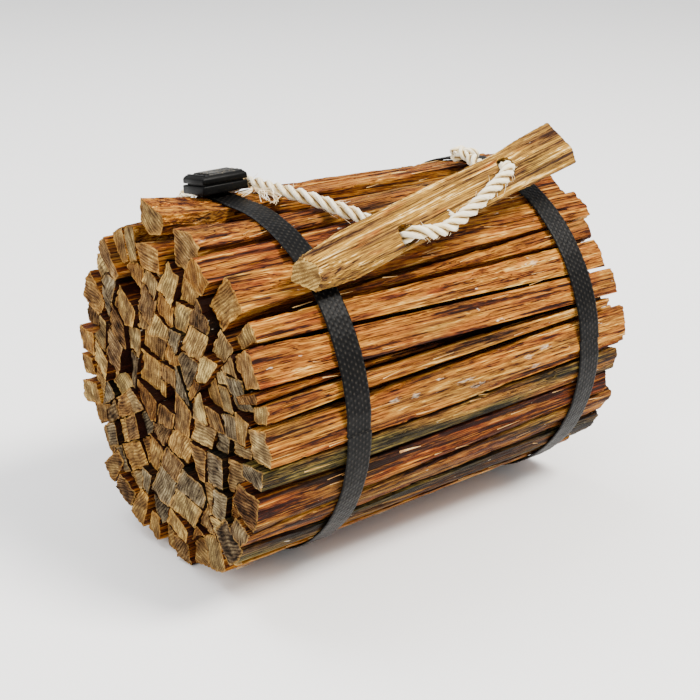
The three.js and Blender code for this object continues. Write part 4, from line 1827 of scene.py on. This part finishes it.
@dataclass
class HandleStick:
    """The bigger split stick that serves as the handle, with its two drilled holes."""

    voxel: float = 0.75  # mm
    flute: float = 0.55
    start: tuple[float, float, float] = (-67.9, -58.6, 148.3)
    stop: tuple[float, float, float] = (96.1, -40.0, 174.0)
    face: tuple[float, float, float] = (-0.1, -0.5, 0.85)
    tone: tuple[float, float, float] = (0.0, 0.62, 0.0)

    def build(self, side: Material, end: Material) -> Piece:
        """Make the handle from its CAD node's mesh.

        Args:
            side: The material of the split faces.
            end: The material of the end grain.

        Returns:
            The handle.
        """
        piece = copy_piece(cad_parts["handle_stick"], "split_handle_stick")
        piece.parent = None
        for key in list(piece.keys()):
            del piece[key]
        with editing(piece):
            bpy.ops.mesh.remove_doubles(threshold=0.000001)
        remesh = piece.modifiers.new("grid", "REMESH")
        remesh.mode = "VOXEL"
        remesh.voxel_size = self.voxel * MM
        apply_modifiers(piece)
        self._roughen(piece)
        dress(piece, side, end)
        along = Vector(self._axes()[0])
        for face in piece.data.polygons:
            face.material_index = int(abs(face.normal.dot(along)) > 0.75)
        hand_over(piece, 60, "handle_stick")
        return piece

    def _axes(self) -> np.ndarray:
        """The handle's own axes as rows: along it, across its broad face, and out of that face."""
        along = np.array(self.stop) - np.array(self.start)
        along /= np.linalg.norm(along)
        out = np.array(self.face) - along * np.dot(self.face, along)
        out /= np.linalg.norm(out)
        return np.array([along, np.cross(out, along), out])

    def _roughen(self, piece: Piece) -> None:
        """Flute and tear the surface along the grain, and store the wood's own place."""
        mesh = piece.data
        points = coordinates(mesh) / MM
        own = (points - np.array(self.start)) @ self._axes().T
        normals = np.empty(len(mesh.vertices) * 3)
        mesh.vertices.foreach_get("normal", normals)
        normals = normals.reshape(-1, 3)
        sides = 1 - np.abs(normals @ self._axes()[0])
        wave = noise(own, (80, 3.0, 3.0), 901, 2)
        groove = smoothstep(0.2, 0.0, np.abs(noise(own, (70, 3.6, 3.6), 902)))
        step = smoothstep(-0.06, 0.06, noise(own, (50, 6.0, 6.0), 903)) - 0.5
        tear = smoothstep(0.3, 0.6, noise(own, (9, 1.4, 1.4), 904, 2))
        depth = self.flute * (0.35 + 0.5 * wave + 0.6 * groove + 0.5 * step) + 0.3 * tear
        depth = np.maximum(depth, 0) * smoothstep(0.2, 0.7, sides)
        grit = 0.35 * (0.5 + 0.5 * noise(own, (2.0, 2.4, 1.2), 905, 3)) * (1 - sides)
        points -= normals * (depth + grit)[:, None]
        set_coordinates(mesh, points * MM)
        turned = own @ np.array([[1, 0, 0], [0, 0.8, -0.6], [0, 0.6, 0.8]])
        add_attribute(mesh, "wood", turned + np.array([300.0, 40.0, 70.0]))
        add_attribute(mesh, "tone", np.tile(np.array(self.tone), (len(points), 1)))
        add_attribute(mesh, "rim", np.full(len(points), 0.35))


# ---------------------------------------------------------------- buckles


@dataclass
class StrapBuckle:
    """A moulded buckle: a base plate that the strap runs through, a parting groove, and a locking
    plate with bevelled corners and a serrated back. Sizes in mm."""

    node: str
    tilt: float
    across: float = 23.5
    along: float = 17.0
    base_height: float = 4.0
    groove: float = 0.7
    height: float = 9.2
    straight: float = 0.64  # the share of the locking plate below its slope
    teeth: int = 7

    def build(self, material: Material, dust_and_glint: Material) -> Piece:
        """Make the buckle at its CAD node's place.

        Args:
            material: The plastic.
            dust_and_glint: The plastic of the ribs, with pale dust specks that also stand in as painted
                glints.

        Returns:
            The buckle.
        """
        cap_height = self.height - self.base_height - self.groove
        base = (self.across, self.along + 0.6, self.base_height)
        parts = [
            self._block((0, 0.4, self.base_height / 2), base, 0.6),
            self._block((0, 0, self.base_height), (self.across - 3, self.along - 2.6, 2.2), 0.2),
            self._cap(self.base_height + self.groove, cap_height - 0.9),
        ]
        ribs = self._serrations(self.height - 1.5)
        for way in (-1, 1):
            place = (way * (self.across / 2 - 2.0), -0.2, self.height - 1.2)
            parts.append(self._block(place, (1.4, self.along - 3.6, 1.5), 0.3))
        for part in parts:
            dress(part, material)
        # The ribs' pale specks are dust and painted glints.
        for rib in ribs:
            dress(rib, dust_and_glint)
        piece = join([*parts, *ribs], "moulded_" + self.node)
        low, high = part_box(self.node)
        middle = (low + high) / 2
        turn = Matrix.Rotation(math.radians(self.tilt), 4, "X")
        centre = turn @ Vector((0, 0.5 * MM, self.height / 2 * MM))
        piece.matrix_world = Matrix.Translation(middle - centre) @ turn
        settle(piece)
        hand_over(piece, 35, self.node)
        return piece

    def _block(self, centre: Place, size: Sequence[float], bevel: float) -> Piece:
        """Mould one block with rounded edges.

        Args:
            centre: Its middle, mm.
            size: Its sides, mm.
            bevel: The radius of its edges, mm.

        Returns:
            The block.
        """
        select_none()
        place = Vector(centre) * MM
        bpy.ops.mesh.primitive_cube_add(size=1, location=place, scale=Vector(size) * MM)
        block = settle(bpy.context.object)
        with editing(block):
            bpy.ops.mesh.bevel(offset=bevel * MM, segments=3, affect="EDGES")
        return block

    def _cap(self, bottom: float, height: float) -> Piece:
        """Mould the locking plate, drawn in towards its top.

        Args:
            bottom: The height of its underside, mm.
            height: Its own height, mm.

        Returns:
            The plate.
        """
        select_none()
        size = Vector((self.across, self.along, height * self.straight)) * MM
        place = Vector((0, 0, bottom + height * self.straight / 2)) * MM
        bpy.ops.mesh.primitive_cube_add(size=1, location=place, scale=size)
        cap = settle(bpy.context.object)
        move = {"value": (0, 0, height * (1 - self.straight) * MM)}
        with editing(cap) as mesh:
            pick(mesh, "FACE", lambda face: face.normal.z > 0.9)
            bpy.ops.mesh.extrude_region_move(TRANSFORM_OT_translate=move)
            bpy.ops.transform.resize(value=(1 - 2.4 / self.across, 1 - 2.0 / self.along, 1))
            bpy.ops.mesh.select_all(action="SELECT")
            bpy.ops.mesh.bevel(offset=0.45 * MM, segments=3, affect="EDGES")
        return cap

    def _serrations(self, bottom: float) -> list[Piece]:
        """Mould the ribs across the back of the locking plate.

        Args:
            bottom: The height that they stand on, mm.

        Returns:
            The ribs.
        """
        pitch = (self.along - 2.4) / self.teeth
        model = self._block((1.2, 0, bottom + 0.5), (self.across - 7.4, pitch * 0.5, 1.8), 0.3)
        ribs = [model, *(copy_piece(model, f"rib_{i}") for i in range(1, self.teeth))]
        for i, rib in enumerate(ribs):
            points = coordinates(rib.data)
            out = i - (self.teeth - 1) / 2
            points[:, 1] += out * pitch * MM
            points[:, 2] -= 0.35 * max(0.0, abs(out) - 2) * MM
            points[:, 0] += 0.5 * (i % 2) * MM
            set_coordinates(rib.data, points)
        return ribs


# ---------------------------------------------------------------- camera, floor and light


@dataclass
class Studio:
    """A pale floor, soft studio light and the camera."""

    azimuth: float = -38.32
    elevation: float = 21.47
    distance: float = 648.21
    target: tuple[float, float, float] = (-0.99, 0.0, 78.38)
    lens: float = 69.11
    floor_size: float = 12.0

    def camera(self) -> None:
        """Make the camera, facing the middle of the bundle."""
        azimuth, elevation = math.radians(self.azimuth), math.radians(self.elevation)
        back = Vector((
            math.sin(azimuth) * math.cos(elevation),
            -math.cos(azimuth) * math.cos(elevation),
            math.sin(elevation),
        ))
        data = bpy.data.cameras.new("camera")
        data.lens = self.lens
        data.sensor_width = 36
        data.clip_start = 0.01
        camera = bpy.data.objects.new("camera", data)
        camera.location = (Vector(self.target) + back * self.distance) * MM
        camera.rotation_mode = "QUATERNION"
        camera.rotation_quaternion = (-back).to_track_quat("-Z", "Y")
        bpy.context.scene.collection.objects.link(camera)
        bpy.context.scene.camera = camera

    def floor(self) -> None:
        """Lay the floor."""
        select_none()
        bpy.ops.mesh.primitive_plane_add(size=self.floor_size, location=(0, 0, 0))
        floor = bpy.context.object
        floor.name = "studio_floor"
        dress(floor, WhitePaper("white_paper_floor", roughness=0.9).build())

    def light(self, name: str, at: Sequence[float], size: float, power: float, colour: str) -> None:
        """Add a soft square lamp that faces the bundle.

        Args:
            name: The lamp's name.
            at: Its place, m.
            size: Its side, m.
            power: Its power, W.
            colour: Its colour, as hex.
        """
        data = bpy.data.lights.new(name, "AREA")
        data.size = size
        data.energy = power
        data.color = linear(colour)[:3]
        lamp = bpy.data.objects.new(name, data)
        lamp.location = at
        toward = Vector((0, 0, 0.08)) - Vector(at)
        lamp.rotation_mode = "QUATERNION"
        lamp.rotation_quaternion = toward.to_track_quat("-Z", "Y")
        bpy.context.scene.collection.objects.link(lamp)

    def lights(self) -> None:
        """Add the lamps and the pale surroundings."""
        self.light("key_light", (0.62, -1.0, 1.65), 0.6, 80, "fffaf2")
        self.light("left_light", (-1.6, -0.5, 0.9), 0.8, 20, "fffdf8")
        self.light("back_light", (-0.3, 0.9, 1.8), 1.2, 34, "fbfcff")
        world = bpy.data.worlds.new("pale_surroundings")
        world.use_nodes = True
        background = world.node_tree.nodes["Background"]
        background.inputs["Color"].default_value = linear("ffffff")
        background.inputs["Strength"].default_value = 0.95
        bpy.context.scene.world = world


def main() -> None:
    """Build the scene in order and report each piece."""
    logging.basicConfig(level=logging.INFO, format="%(message)s")
    studio = Studio()
    studio.camera()
    cotton = TwistedCotton().build()
    pieces = CarryingRope().build(cotton)
    studio.floor()
    studio.lights()
    side, end = SplitSoftwood().build(), SplitEndGrain().build()
    pieces += OuterSticks().build(side, end)
    # The inner sticks' split faces are darkened: painted shade of the gaps between them.
    pieces += InnerSticks().build(SplitSoftwood("shaded_softwood_face", shade=0.52).build(), end)
    fresh = SplitEndGrain("fresh_end_grain", lightness=0.16, warmth=0.7).build()
    handled = SplitSoftwood("handle_softwood_face", contrast=1.2, shade=-0.04, golds=HANDLE_GOLDS).build()
    pieces.append(HandleStick().build(handled, fresh))
    webbing, plastic = WovenWebbing().build(), MouldedPlastic().build()
    pieces += [WebbingStrap(node).build(webbing) for node in ("front_strap", "rear_strap")]
    # Pale specks on the ribs: dust, and painted glints of the serrations.
    dust_and_glint = MouldedPlastic("dust_and_glint_acetal", dust=0.7, roughness=0.4, gloss=0.4).build()
    buckles = StrapBuckle("front_buckle", -8.0), StrapBuckle("rear_buckle", -50.0)
    pieces += [buckle.build(plastic, dust_and_glint) for buckle in buckles]
    wisps = PaleFibre("loose_cotton_fibre", dark="d9c090", pale="fdf6e2").build()
    pieces += LooseEnds().build(wisps, PaleFibre().build())
    for piece in pieces:
        LOG.info("%s: %d faces", piece.name, len(piece.data.polygons))


if __name__ == "__main__":
    main()
